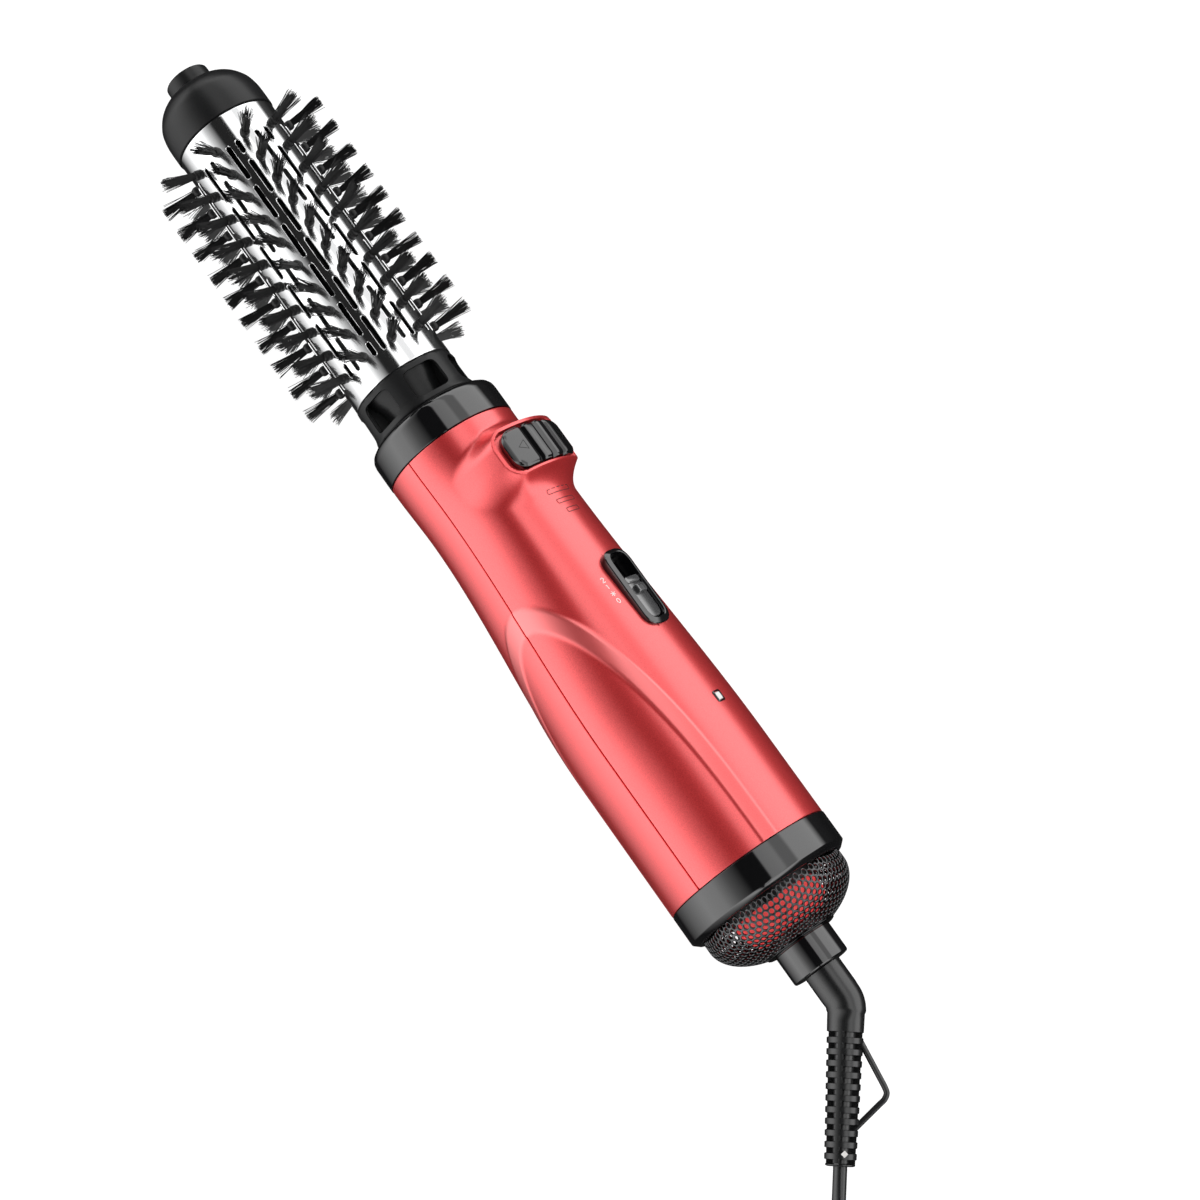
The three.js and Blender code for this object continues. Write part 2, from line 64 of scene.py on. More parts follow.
# Sizes shared with the CAD model, in millimetres and degrees
POD_TURN = 55
WALL = 2
CASING = (41.6, 214.1)
PARTING = 0.28
COLUMNS = 10
COLUMN_TURN = 360 / COLUMNS
RINGS = 10
FIRST_RING = 254
RING_PITCH = 10
BARREL_RADIUS = 19
TUFT_TIP = 34.1
RELIEF_CORNER = -13.5
RELIEF_LENGTH = 52.5
RELIEF_TURN = math.radians(-141.85)
CORD_RADIUS = 2.3
COIL_CENTRE = (-42.5, -109.9)
COIL_MEAN = 26.1
COIL_LOW = 1.6
PLUG_AT = (-4.9, -151.85)
PLUG_TURN = math.radians(11.3)
PLUG_LENGTH = 33

# Light
LIGHT_LEVEL = 0.85
FLOOR_GLOW = 0.86


# ---- meshes ----


def in_frame(points):
    """Brush coordinates in millimetres as frame coordinates in metres."""
    return np.asarray(points, float) / 1000 + np.array([0, REAR, AXIS])


def polar(radius, turn, station):
    """Points at a distance and turn about the axis."""
    turn = np.radians(turn)
    return np.stack(np.broadcast_arrays(radius * np.sin(turn), station, radius * np.cos(turn)), -1)


def turned(points, turn):
    """Points turned about the axis by some degrees."""
    points = np.asarray(points, float)
    c, s = math.cos(math.radians(turn)), math.sin(math.radians(turn))
    x, station, z = np.moveaxis(points, -1, 0)
    return np.stack([x * c + z * s, station, z * c - x * s], -1)


def full_turn(count):
    """Evenly spaced angles of a full turn, in radians."""
    return np.linspace(0, 2 * math.pi, count, endpoint=False)


def hoop(angles, side):
    """A unit circle through a level direction and straight up."""
    return np.outer(np.cos(angles), side) + np.outer(np.sin(angles), [0, 0, 1])


def rectangle(x0, x1, y0, y1):
    """The corners of a rectangle, in order."""
    return [(x0, y0), (x1, y0), (x1, y1), (x0, y1)]


def closely(line, shares, closed=True):
    """A line of points with more points set between each and the next."""
    after = np.roll(line, -1, 0) if closed else line[1:]
    return [a + (b - a) * t for a, b in zip(line, after) for t in shares]


def smooth(a, b, value):
    """0 before a, 1 past b, and an even curve between them."""
    t = np.clip((value - a) / (b - a), 0, 1)
    return t * t * (3 - 2 * t)


def grid_faces(rows, columns, start=0, wrap=False, wrap_rows=False, flip=False):
    """Quads over a grid of points kept row by row."""
    faces = []
    for i in range(rows if wrap_rows else rows - 1):
        for j in range(columns if wrap else columns - 1):
            a, b = i * columns, (i + 1) % rows * columns
            k = (j + 1) % columns
            quad = (start + a + j, start + a + k, start + b + k, start + b + j)
            faces.append(quad[::-1] if flip else quad)
    return faces


def piece(name, points, faces, look, body, *nodes, slot=None, sharp=40, weld=1e-6):
    """A mesh piece that rides on a body and stands for CAD nodes. Its slot argument is not used."""
    mesh = bpy.data.meshes.new(name)
    mesh.from_pydata(in_frame(points).tolist(), [], [tuple(map(int, f)) for f in faces])
    if weld:
        work = bmesh.new()
        work.from_mesh(mesh)
        bmesh.ops.remove_doubles(work, verts=work.verts, dist=weld)
        bmesh.ops.dissolve_degenerate(work, edges=work.edges, dist=weld)
        bmesh.ops.recalc_face_normals(work, faces=work.faces)
        work.to_mesh(mesh)
        work.free()
    mesh.polygons.foreach_set("use_smooth", [True] * len(mesh.polygons))
    mesh.set_sharp_from_angle(angle=math.radians(sharp))
    mesh.materials.append(MATERIALS[look])
    made = bpy.data.objects.new(name, mesh)
    bpy.context.scene.collection.objects.link(made)
    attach(made, body)
    if nodes:
        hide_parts(*nodes)
    return made


def thicken(made, millimetres):
    """Gives a skin a wall, inward from its face."""
    wall = made.modifiers.new("thickness", "SOLIDIFY")
    wall.thickness = millimetres / 1000
    wall.offset = -1


def rounded(outline, radius, closed=True, steps=4):
    """An outline of 2-D points with each corner turned into a short curve."""
    points = [np.array(p[:2], float) for p in outline]
    radii = [p[2] if len(p) > 2 else radius for p in outline]
    out = []
    for i, (here, reach) in enumerate(zip(points, radii)):
        ends = not closed and i in (0, len(points) - 1)
        if ends or reach == 0:
            out.append(here)
            continue
        before, after = points[i - 1] - here, points[(i + 1) % len(points)] - here
        a = here + before * min(0.5, reach / np.linalg.norm(before))
        b = here + after * min(0.5, reach / np.linalg.norm(after))
        for t in np.linspace(0, 1, steps):
            out.append((1 - t) ** 2 * a + 2 * t * (1 - t) * here + t * t * b)
    return np.array(out)


def lathe(name, outline, look, body, *nodes, segments=128, closed=True, **options):
    """An outline of radius, station and corner radius, turned about the brush axis."""
    outline = rounded(outline, 0, closed)
    turns = np.linspace(0, 360, segments, endpoint=False)
    points = polar(outline[:, :1], turns[None, :], outline[:, 1:]).reshape(-1, 3)
    faces = grid_faces(len(outline), segments, wrap=True, wrap_rows=closed)
    return piece(name, points, faces, look, body, *nodes, **options)


def loft(name, loops, look, body, *nodes, closed=False, **options):
    """Skin through loops of as many points each: flat ends, or the last loop joined to the first."""
    count = len(loops[0])
    points = np.concatenate(loops)
    faces = grid_faces(len(loops), count, wrap=True, wrap_rows=closed)
    if not closed:
        faces += [tuple(range(count))[::-1], tuple(range(len(points) - count, len(points)))]
    return piece(name, points, faces, look, body, *nodes, **options)


def slab(outer, thickness):
    """A closed skin: a grid of points, the same grid moved inward, and strips between their borders."""
    rows, columns = outer.shape[:2]
    points = np.concatenate([outer.reshape(-1, 3), (outer - thickness).reshape(-1, 3)])
    half = rows * columns
    faces = grid_faces(rows, columns) + grid_faces(rows, columns, half, flip=True)
    border = (
        [j for j in range(columns)]
        + [i * columns + columns - 1 for i in range(1, rows)]
        + [(rows - 1) * columns + j for j in range(columns - 2, -1, -1)]
        + [i * columns for i in range(rows - 2, 0, -1)]
    )
    for a, b in zip(border, border[1:] + border[:1]):
        faces.append((b, a, half + a, half + b))
    return points, faces


def tube_along(path, radius, sides):
    """Loops of a tube along a line of points."""
    path = np.asarray(path, float)
    heading = np.gradient(path, axis=0)
    heading /= np.linalg.norm(heading, axis=1)[:, None]
    side = np.cross(heading[0], [0.0, 0.0, 1.0])
    loops = []
    angles = full_turn(sides)
    for p, h in zip(path, heading):
        side = side - h * np.dot(side, h)
        side /= np.linalg.norm(side)
        up = np.cross(side, h)
        loops.append(p + radius * (np.outer(np.cos(angles), side) + np.outer(np.sin(angles), up)))
    return loops


# ---- materials ----


def add_node(tree, kind, **inputs):
    """A shader node with some of its inputs set; an underscore stands for a space."""
    made = tree.nodes.new(f"ShaderNode{kind}")
    for key, value in inputs.items():
        made.inputs[key.replace("_", " ")].default_value = value
    return made


def material(name, colour, roughness, metallic=0.0, grain=0.1, scale=900, bump=0.02,
             speck=0.0, stretch=(1, 1, 1), **more):
    """Plastic, paint, rubber or metal: colour mottled and roughness varied by noise, with a fine bump."""
    made = bpy.data.materials.new(name)
    made.use_nodes = True
    tree = made.node_tree
    link = tree.links.new
    shader = tree.nodes["Principled BSDF"]
    for key, value in {"Metallic": metallic, "Coat_Roughness": 0.05, **more}.items():
        shader.inputs[key.replace("_", " ")].default_value = value
    where = add_node(tree, "TexCoord")
    mapping = add_node(tree, "Mapping", Scale=stretch)
    link(where.outputs["Object"], mapping.inputs["Vector"])
    fine = add_node(tree, "TexNoise", Scale=scale, Detail=4)
    link(mapping.outputs["Vector"], fine.inputs["Vector"])
    broad = add_node(tree, "TexNoise", Scale=28)
    link(mapping.outputs["Vector"], broad.inputs["Vector"])
    tint = add_node(tree, "ValToRGB")
    low, high = tint.color_ramp.elements
    low.color = (*[c * (1 - grain) for c in colour], 1)
    high.color = (*[min(1, c * (1 + grain) + speck) for c in colour], 1)
    low.position = 0.3
    high.position = 0.7
    link(fine.outputs["Fac"], tint.inputs["Fac"])
    link(tint.outputs["Color"], shader.inputs["Base Color"])
    wear = add_node(tree, "MapRange", To_Min=roughness * 0.82, To_Max=min(1, roughness * 1.2))
    link(broad.outputs["Fac"], wear.inputs["Value"])
    link(wear.outputs["Result"], shader.inputs["Roughness"])
    relief = add_node(tree, "Bump", Strength=0.35, Distance=bump / 1000)
    link(fine.outputs["Fac"], relief.inputs["Height"])
    link(relief.outputs["Normal"], shader.inputs["Normal"])
    return made


def red_paint():
    """Satin metallic red, with a painted highlight that makes it paler where the arch band is."""
    made = material("red_paint", (0.88, 0.036, 0.04), 0.34, 0.72, scale=2600, bump=0.004, speck=0.02,
                    Coat_Weight=1.0, Coat_Roughness=0.24, Coat_IOR=1.85)
    tree = made.node_tree
    base = tree.nodes["Principled BSDF"].inputs["Base Color"]
    band = add_node(tree, "Attribute")
    band.attribute_name = "band"
    pale = add_node(tree, "Mix")
    pale.data_type = "RGBA"
    # Painted highlight: the band's paler red stands in for light on its sloped face.
    pale.inputs["B"].default_value = (0.98, 0.17, 0.17, 1)
    tree.links.new(base.links[0].from_socket, pale.inputs["A"])
    tree.links.new(band.outputs["Fac"], pale.inputs["Factor"])
    tree.links.new(pale.outputs["Result"], base)
    return made


def woven():
    """Hook-and-loop strap with a fine weave."""
    made = material("strap_weave", (0.02, 0.02, 0.022), 0.85, grain=0.5, scale=1400, bump=0.1)
    tree = made.node_tree
    normal = tree.nodes["Principled BSDF"].inputs["Normal"]
    wave = add_node(tree, "TexWave", Scale=900, Distortion=1.5)
    relief = add_node(tree, "Bump", Distance=0.0002)
    tree.links.new(wave.outputs["Fac"], relief.inputs["Height"])
    tree.links.new(normal.links[0].from_socket, relief.inputs["Normal"])
    tree.links.new(relief.outputs["Normal"], normal)
    return made


MATERIALS = {
    "red_casing": red_paint(),
    "gloss_black": material("gloss_black", (0.004, 0.004, 0.0045), 0.06, scale=500, bump=0.001, IOR=1.85),
    "grille": material("grille_steel", (0.085, 0.085, 0.088), 0.14, 1.0, scale=1500, bump=0.006),
    # Painted light: the bell's red is brighter than the casing's and glows a little, standing in for light
    # that reaches it through the grille.
    "bell": material("bell_red_painted_glow", (0.95, 0.10, 0.10), 0.4, grain=0.05, scale=1500, bump=0.01,
                     Emission_Color=(0.9, 0.05, 0.05, 1), Emission_Strength=0.4),
    # Near-black red for the crest's grooves: painted shade in them.
    "groove": material("groove_painted_shade", (0.08, 0.003, 0.004), 0.7, scale=1500, bump=0.004),
    "slider": material("slider_satin", (0.06, 0.06, 0.062), 0.2, scale=1800, bump=0.004, IOR=2.4),
    "charcoal": material("charcoal_plastic", (0.010, 0.0102, 0.0106), 0.32, scale=3200, bump=0.01,
                         grain=0.2, Specular_IOR_Level=0.32),
    "barrel": material("barrel_mirror", (0.88, 0.885, 0.89), 0.1, 1.0, grain=0.02, scale=260, bump=0.001,
                       stretch=(1, 0.08, 1)),
    "bristles": material("bristle_nylon", (0.006, 0.006, 0.0065), 0.34, scale=2400, bump=0.01, grain=0.4,
                         Specular_IOR_Level=0.4),
    "steel": material("turned_steel", (0.55, 0.56, 0.57), 0.3, 1.0, scale=700, bump=0.01,
                      stretch=(1, 0.1, 1)),
    "pins": material("nickel_pins", (0.68, 0.66, 0.62), 0.22, 1.0, grain=0.05, scale=800, bump=0.004),
    "bush": material("sintered_bronze", (0.55, 0.33, 0.14), 0.45, 1.0, scale=2500),
    "nylon": material("moulded_nylon", (0.74, 0.72, 0.64), 0.5, scale=1500, bump=0.01,
                      Subsurface_Weight=0.05),
    "mica": material("mica_sheet", (0.46, 0.36, 0.22), 0.6, scale=300, bump=0.03, grain=0.3,
                     stretch=(1, 4, 1)),
    "board": material("solder_mask", (0.02, 0.13, 0.05), 0.3, scale=600, grain=0.3, Coat_Weight=0.3),
    "lens": material("clear_lens", (0.86, 0.86, 0.84), 0.12, grain=0.03, scale=700, bump=0.003,
                     Coat_Weight=0.5),
    "cord_black": material("cord_rubber", (0.009, 0.0092, 0.0096), 0.26, scale=2200, bump=0.006,
                           grain=0.25, Specular_IOR_Level=0.75),
    "tie": woven(),
    "print": material("white_print", (0.82, 0.80, 0.78), 0.5, grain=0.05, scale=3000, bump=0.004),
}
SLOT_OF = {part["node"]: part["material_slot"] for part in frame["record"]["subparts"]}


def finish_cad_nodes():
    """Every CAD node gets the material of its slot."""
    for name, node in frame["nodes"].items():
        node.data.materials.clear()
        node.data.materials.append(MATERIALS[SLOT_OF[name]])


# ---- camera, light and floor ----


def camera():
    """Looks almost straight down at the brush, which lies aslant in the picture with its rear end nearer."""
    tilt, roll = math.radians(11.63), math.atan2(0.5835, 0.8121)
    distance, aside, aimed_at = 1.024, 0.01124, REAR + 0.1425
    right = Vector((1, 0, 0))
    up = Vector((0, math.cos(tilt), math.sin(tilt)))
    back = right.cross(up)
    lens = bpy.data.cameras.new("camera")
    lens.sensor_width = 36
    lens.lens = 91.7
    made = bpy.data.objects.new("camera", lens)
    x = right * math.cos(roll) - up * math.sin(roll)
    y = right * math.sin(roll) + up * math.cos(roll)
    made.matrix_world = Matrix((x, y, back)).transposed().to_4x4()
    made.location = Vector((aside, aimed_at, AXIS)) + back * distance
    bpy.context.scene.collection.objects.link(made)
    bpy.context.scene.camera = made


# How bright the studio is at each angle from overhead toward +X: a soft light on the left, a dark
# gap above, and a light with sharper edges on the right.
STUDIO_LIGHT = [
    (-140, 0.02), (-122, 0.5), (-106, 1.1), (-78, 2.3), (-52, 2.1), (-32, 0.8), (-12, 0.02), (14, 0.02),
    (16, 1.5), (36, 1.8), (40, 1.1), (54, 1.1), (58, 2.3), (99, 2.2), (110, 0.08), (140, 0.02),
]


def world_light():
    """Light that depends on the angle about the brush's axis alone."""
    world = bpy.data.worlds.new("studio")
    bpy.context.scene.world = world
    world.use_nodes = True
    tree = world.node_tree
    link = tree.links.new
    where = add_node(tree, "TexCoord")
    split = add_node(tree, "SeparateXYZ")
    link(where.outputs["Generated"], split.inputs["Vector"])
    angle = add_node(tree, "Math")
    angle.operation = "ARCTAN2"
    link(split.outputs["X"], angle.inputs[0])
    link(split.outputs["Z"], angle.inputs[1])
    share = add_node(tree, "MapRange", From_Min=-math.pi, From_Max=math.pi)
    link(angle.outputs["Value"], share.inputs["Value"])
    ramp = add_node(tree, "ValToRGB")
    stops = ramp.color_ramp.elements
    while len(stops) < len(STUDIO_LIGHT):
        stops.new(0.5)
    brightest = max(light for _, light in STUDIO_LIGHT)
    for stop, (turn, light) in zip(stops, STUDIO_LIGHT):
        stop.position = (turn + 180) / 360
        stop.color = (*[light / brightest] * 3, 1)
    link(share.outputs["Result"], ramp.inputs["Fac"])
    background = tree.nodes["Background"]
    link(ramp.outputs["Color"], background.inputs["Color"])
    background.inputs["Strength"].default_value = brightest * LIGHT_LEVEL


def floor():
    """A pale floor that glows a little, as a lit table does."""
    span, drop = 20.0, 0.0002
    mesh = bpy.data.meshes.new("floor")
    corners = [(x, y, 0) for x, y in rectangle(-span, span, -span, span)]
    mesh.from_pydata(corners, [], [(0, 1, 2, 3)])
    paper = material("floor_paper", (0.30, 0.30, 0.30), 0.9, grain=0.004, scale=120, bump=0.01,
                     Emission_Color=(1, 1, 1, 1), Emission_Strength=FLOOR_GLOW)
    mesh.materials.append(paper)
    made = bpy.data.objects.new("floor", mesh)
    made.location.z = -drop
    made.visible_glossy = False
    bpy.context.scene.collection.objects.link(made)


def studio():
    """The light, the floor and a plain view transform."""
    world_light()
    floor()
    bpy.context.scene.view_settings.view_transform = "Standard"


# ---- cord ----

EXIT = np.array([math.sin(RELIEF_TURN), math.cos(RELIEF_TURN), 0.0])
ASIDE = np.array([-EXIT[1], EXIT[0], 0.0])


def relief_point(along, aside=0.0, up=0.0):
    """A place by its distance along the strain relief from its corner, to its side and above it."""
    return np.array([0, RELIEF_CORNER, 0]) + EXIT * along + ASIDE * aside + np.array([0, 0, up])


# The stretch down to the coil and the lead to the plug, as points given: x, s and height.
CORD_ROUTE = [
    (-32.6, -55.1, 33.3), (-38.6, -62.7, 33), (-44.8, -70.5, 30.4), (-50.9, -78.4, 26),
    (-57.1, -86.2, 21.7), (-63.3, -94.3, 18.4),
]
LEAD_ROUTE = [
    (-46.4, -147.8, 2.4), (-37.2, -152.6, 2.4), (-27.5, -154.8, 2.6), (-16.8, -154.2, 3.8),
    (-11.2, -153.1, 5.6), (-5.6, -152, 6.5),
]
# The turns of the coil, in the order they are laid: distance from the mean radius and layer, both in
# cord widths.
COIL_TURNS = [(-1, 2), (0, 2), (1, 2), (1.5, 1), (0.5, 1), (-0.5, 1), (-1.5, 1), (-1, 0), (0, 0), (1, 0)]
COIL_ENTRY = (0, 3.25)
COIL_START = math.radians(144)
LAYER_RISE = 0.87


def coil_points(per_turn=28):
    """Turns laid beside and under each other, each easing into the next over half a turn."""
    width = 2 * CORD_RADIUS
    last = len(COIL_TURNS) - 1
    points = []
    for i in range(int((len(COIL_TURNS) + 0.25) * per_turn) + 1):
        turn = i / per_turn
        k = min(int(turn), last)
        here, after = COIL_TURNS[k], COIL_TURNS[min(k + 1, last)]
        ease = float(smooth(0.5, 1.0, turn - k)) if k < last else 0.0
        off = here[0] + (after[0] - here[0]) * ease
        layer = here[1] + (after[1] - here[1]) * ease
        off += (COIL_ENTRY[0] - COIL_TURNS[0][0]) * (1 - float(smooth(0.05, 0.42, turn)))
        layer += (COIL_ENTRY[1] - COIL_TURNS[0][1]) * (1 - float(smooth(0.1, 0.5, turn)))
        radius = COIL_MEAN + off * width
        angle = COIL_START + 2 * math.pi * turn
        x, s = COIL_CENTRE[0] + radius * math.cos(angle), COIL_CENTRE[1] + radius * math.sin(angle)
        points.append((x, s, COIL_LOW + CORD_RADIUS + layer * width * LAYER_RISE))
    return points


def curve_through(points, step):
    """A smooth line through points, evenly stepped."""
    points = [np.array(p, float) for p in points]
    padded = [2 * points[0] - points[1], *points, 2 * points[-1] - points[-2]]
    fine = []
    for p0, p1, p2, p3 in zip(padded, padded[1:], padded[2:], padded[3:]):
        square, cube = 2 * p0 - 5 * p1 + 4 * p2 - p3, 3 * p1 - p0 - 3 * p2 + p3
        for t in np.linspace(0, 1, 12, endpoint=False):
            fine.append(0.5 * (2 * p1 + (p2 - p0) * t + square * t**2 + cube * t**3))
    fine.append(points[-1])
    fine = np.array(fine)
    length = np.concatenate([[0], np.cumsum(np.linalg.norm(np.diff(fine, axis=0), axis=1))])
    at = np.linspace(0, length[-1], int(length[-1] / step) + 1)
    return np.stack([np.interp(at, length, fine[:, k]) for k in range(3)], -1)


def cord():
    """The mains cord, from the strain relief, through its coil, to the plug."""
    on_floor = CORD_ROUTE + coil_points()[1:] + LEAD_ROUTE
    route = [(x, s, height - AXIS * 1000) for x, s, height in on_floor]
    path = curve_through([relief_point(RELIEF_LENGTH - 1.5)] + route, 2.5)
    made = loft("mains_cord", tube_along(path, CORD_RADIUS, 14), "cord_black", "cord_set",
                "cord", "cord_coil", "plug_lead", weld=0)
    length = float(np.linalg.norm(np.diff(path, axis=0), axis=1).sum()) / 1000
    return made, in_frame(path), length


# The strain relief's slots: how many, where the first starts, their pitch, length and depth.
CUTS = dict(count=12, first=9.6, pitch=3.7, length=1.7, depth=2.5)


def relief_elbow(turn):
    """Loops from the neck in the swivel collar, round the bend, to the ribbed part."""
    neck, tube = 6.6, 6.5
    loops = []
    for s in (-0.3, -2, -6, -9):
        loops.append(np.array([0, s, 0]) + neck * hoop(turn, [1, 0, 0]))
    start, corner, end = np.array([0, -10.8, 0]), np.array([0, RELIEF_CORNER, 0]), relief_point(2.7)
    for t in np.linspace(0.0, 1.0, 9):
        bend = t * (math.pi + RELIEF_TURN)
        side = np.array([math.cos(bend), -math.sin(bend), 0])
        middle = start * (1 - t) ** 2 + 2 * t * (1 - t) * corner + t * t * end
        loops.append(middle + tube * hoop(turn, side))
    return loops


def strain_relief():
    """The elbow and its ribbed, tapering sleeve: slots cut round it, apart from two spines."""
    turn = full_turn(72)
    degrees = np.degrees(turn)
    spine = (np.abs(degrees - 104) < 11) | (np.abs(degrees - 284) < 11)
    left, right = np.abs(degrees - 180) < 11, np.minimum(degrees, 360 - degrees) < 14
    depth = np.where(spine, 0.0, CUTS["depth"] - np.where(left, 1.9, np.where(right, 2.1, 0.0)))
    stations = [3.5, 6, 8.5, RELIEF_LENGTH - 1.0, RELIEF_LENGTH - 0.3, RELIEF_LENGTH]
    for row in range(CUTS["count"]):
        first = CUTS["first"] + CUTS["pitch"] * row
        stations += [first + shift for shift in (-0.12, 0.12, 0.85, 1.58, 1.82, 2.76)]
    loops = relief_elbow(turn)
    for along in sorted(s for s in stations if s <= RELIEF_LENGTH):
        row = (along - CUTS["first"]) / CUTS["pitch"]
        share = row - math.floor(row)
        cut = row >= 0 and 0.01 < share and share * CUTS["pitch"] < CUTS["length"]
        taken = depth * cut
        if along > RELIEF_LENGTH - 0.9:
            taken = np.full(len(turn), 0.35 if along < RELIEF_LENGTH - 0.1 else 1.0)
        radius = 6.2 - along / RELIEF_LENGTH - taken
        loops.append(relief_point(along) + radius[:, None] * hoop(turn, ASIDE))
    made = loft("strain_relief_sleeve", loops, "cord_black", "cord_set", "strain_relief", sharp=32)
    along, aside, half = 48.5, 1.5, 1.15
    corners = [(along - half, aside), (along, aside - half), (along + half, aside), (along, aside + half)]
    levels = [np.array([relief_point(a, b, up) for a, b in corners]) for up in (4.0, 5.28)]
    mark = loft("relief_diamond", levels, "print", "cord_set", slot="lens", sharp=30)
    return made, mark


def hang_loop():
    """A bent rod with two straight legs, for a hook."""
    corner = [(11.6, 4.6), (26.2, 13.2), (28.4, 14.1), (30.5, 13.4), (40.6, 4.0)]
    line = [relief_point(a, b) for a, b in corner]
    path = [line[0], *[line[0] + (line[1] - line[0]) * t for t in (0.3, 0.6, 0.9)], *line[1:4]]
    path += [line[3] + (line[4] - line[3]) * t for t in (0.15, 0.4, 0.7, 1.0)]
    loops = tube_along(curve_through(path, 0.8), 1.0, 20)
    return loft("hang_loop_rod", loops, "cord_black", "cord_set", "hang_loop")


def cord_tie():
    """A strap round the coil's bundle."""
    low, high, half = COIL_LOW - 0.3, COIL_LOW + 12.9, 9.5
    outline = rounded(rectangle(-half, half, low, high), 4.2, steps=8)
    turn = math.radians(-60)
    along = np.array([math.cos(turn), math.sin(turn), 0])
    across = np.array([-math.sin(turn), math.cos(turn), 0])
    centre = np.array([*COIL_CENTRE, -AXIS * 1000]) + along * COIL_MEAN
    middle = np.array([0, (low + high) / 2])
    loops = []
    for grow, shift in ((0.0, -2.5), (1.0, -2.5), (1.0, 2.5), (0.0, 2.5)):
        flat = middle + (outline - middle) * (1 + grow * np.array([0.09, 0.12]))
        flat[:, 1] = np.maximum(flat[:, 1], 0.15 if grow else 0.6)
        loops.append(centre + np.outer(flat[:, 0], along) + shift * across + np.outer(flat[:, 1], [0, 0, 1]))
    return loft("coil_strap", loops, "tie", "cord_set", "cord_tie", closed=True, sharp=30)


def at_plug(x, y, z):
    """Points made along +x from the plug's cord end and over the floor, set at the plug's place."""
    c, s = math.cos(PLUG_TURN), math.sin(PLUG_TURN)
    return np.stack([PLUG_AT[0] + x * c - y * s, PLUG_AT[1] + x * s + y * c, z - AXIS * 1000], -1)


def plug():
    """A two-pin plug: a neck, a grip that widens with three finger ridges, and a flat face."""
    sections = [
        (0.15, 3.2, 3.2), (1, 3.8, 3.6), (5, 4.6, 4.0), (9, 5.9, 4.8), (13, 8.2, 5.6), (16, 9.6, 6.0),
        (17, 9.6, 5.6), (18, 10.6, 6.2), (20, 11.2, 6.2), (21, 11.0, 5.8), (22, 12.2, 6.4), (27, 12.6, 6.45),
        (31.5, 12.6, 6.4), (32.5, 12.2, 6.1), (PLUG_LENGTH - 0.1, 11.4, 5.4),
    ]
    height, pin_aside, squareness = 6.5, 9.5, 0.55
    angles = full_turn(56)
    across = np.sign(np.cos(angles)) * np.abs(np.cos(angles)) ** squareness
    upward = np.sign(np.sin(angles)) * np.abs(np.sin(angles)) ** squareness
    loops = [at_plug(x, wide * across, height + high * upward) for x, wide, high in sections]
    made = [loft("plug_body", loops, "cord_black", "cord_set", "plug", sharp=38)]
    angles = full_turn(28)
    for side, node in ((-1, "plug_pin_1"), (1, "plug_pin_2")):
        rings = []
        for past, r in ((0.2, 2.4), (16.5, 2.4), (18.2, 1.9), (19.1, 0.9)):
            y, z = side * pin_aside + r * np.cos(angles), height + r * np.sin(angles)
            rings.append(at_plug(PLUG_LENGTH + past, y, z))
        made.append(loft(f"{node}_round", rings, "pins", "cord_set", node, sharp=30))
    return made


# ---- handle ----

# Each arch on the casing: its apex, its length, half its turn. The band lies between the two.
OUTER_ARCH = (151.5, 110, 62.6)
INNER_ARCH = (142, 101, 51.5)
ARCH_RADIUS = 27
POD_RADIUS = 33.4
CONTROL_AT = 194.25


def arch_inside(station, from_seam, apex, span, half_turn, power=2.6):
    """Roughly how far inside an arch on the casing a place is, in millimetres."""
    def half_width(s):
        u = np.clip((apex - s) / span, 0, 1)
        return np.radians(half_turn) * ARCH_RADIUS * np.sqrt(1 - (1 - u) ** power)

    across = np.radians(from_seam) * ARCH_RADIUS
    slope = half_width(station - 0.5) - half_width(station + 0.5)
    inside = (half_width(station) - across) / np.sqrt(1 + slope**2)
    return np.where(station < apex, inside, -np.hypot(station - apex, across))


def rounded_box_distance(x, y, half_x, half_y, corner):
    """Signed distance to a rounded rectangle, negative inside."""
    qx, qy = np.abs(x) - half_x + corner, np.abs(y) - half_y + corner
    return np.hypot(np.maximum(qx, 0), np.maximum(qy, 0)) + np.minimum(np.maximum(qx, qy), 0) - corner


def pod_rise(station, away):
    """The share of its full height that the control's mount has: 1 on its top, 0 past its skirt."""
    half_arc, half_length, corner = 20.3, 9.0, 6.3
    skirt_aside, skirt_behind, skirt_ahead = 21, 8.0, 5.6
    arc, along = np.radians(away) * POD_RADIUS, station - 194.35
    out_arc = np.maximum(arc - half_arc + corner, 1e-6)
    out_along = np.maximum(np.abs(along) - half_length + corner, 1e-6)
    size = np.hypot(out_arc, out_along)
    skirt_along = np.where(along < 0, skirt_behind, skirt_ahead)
    skirt = 1 / np.hypot(out_arc / size / skirt_aside, out_along / size / skirt_along)
    past = rounded_box_distance(arc, along, half_arc, half_length, corner) / skirt
    return (1 - np.clip(past, 0, 1)) ** 2


def casing_radius(station, turn_from_pod):
    """How far the casing's skin stands from the axis."""
    away = np.abs(turn_from_pod)
    under = 30 - 6.2 * smooth(94, 190, station) + 0.7 * smooth(190, 214, station)
    top = 30.1 - 3.6 * smooth(74, 184, station) - 2 * smooth(184, 210, station)
    blend = smooth(40, 90, away)
    body = top * (1 - blend) + under * blend
    rise = pod_rise(station, away)
    return body * (1 - rise) + POD_RADIUS * rise


def from_rear_seam(turn_from_pod):
    """Degrees from the parting line that the arch straddles."""
    return np.abs(((turn_from_pod + 90 + 180) % 360) - 180)


def seam_gap(turn_from_pod):
    """Degrees from the nearer parting line."""
    return np.abs(np.abs(((turn_from_pod + 180) % 360) - 180) - 90)


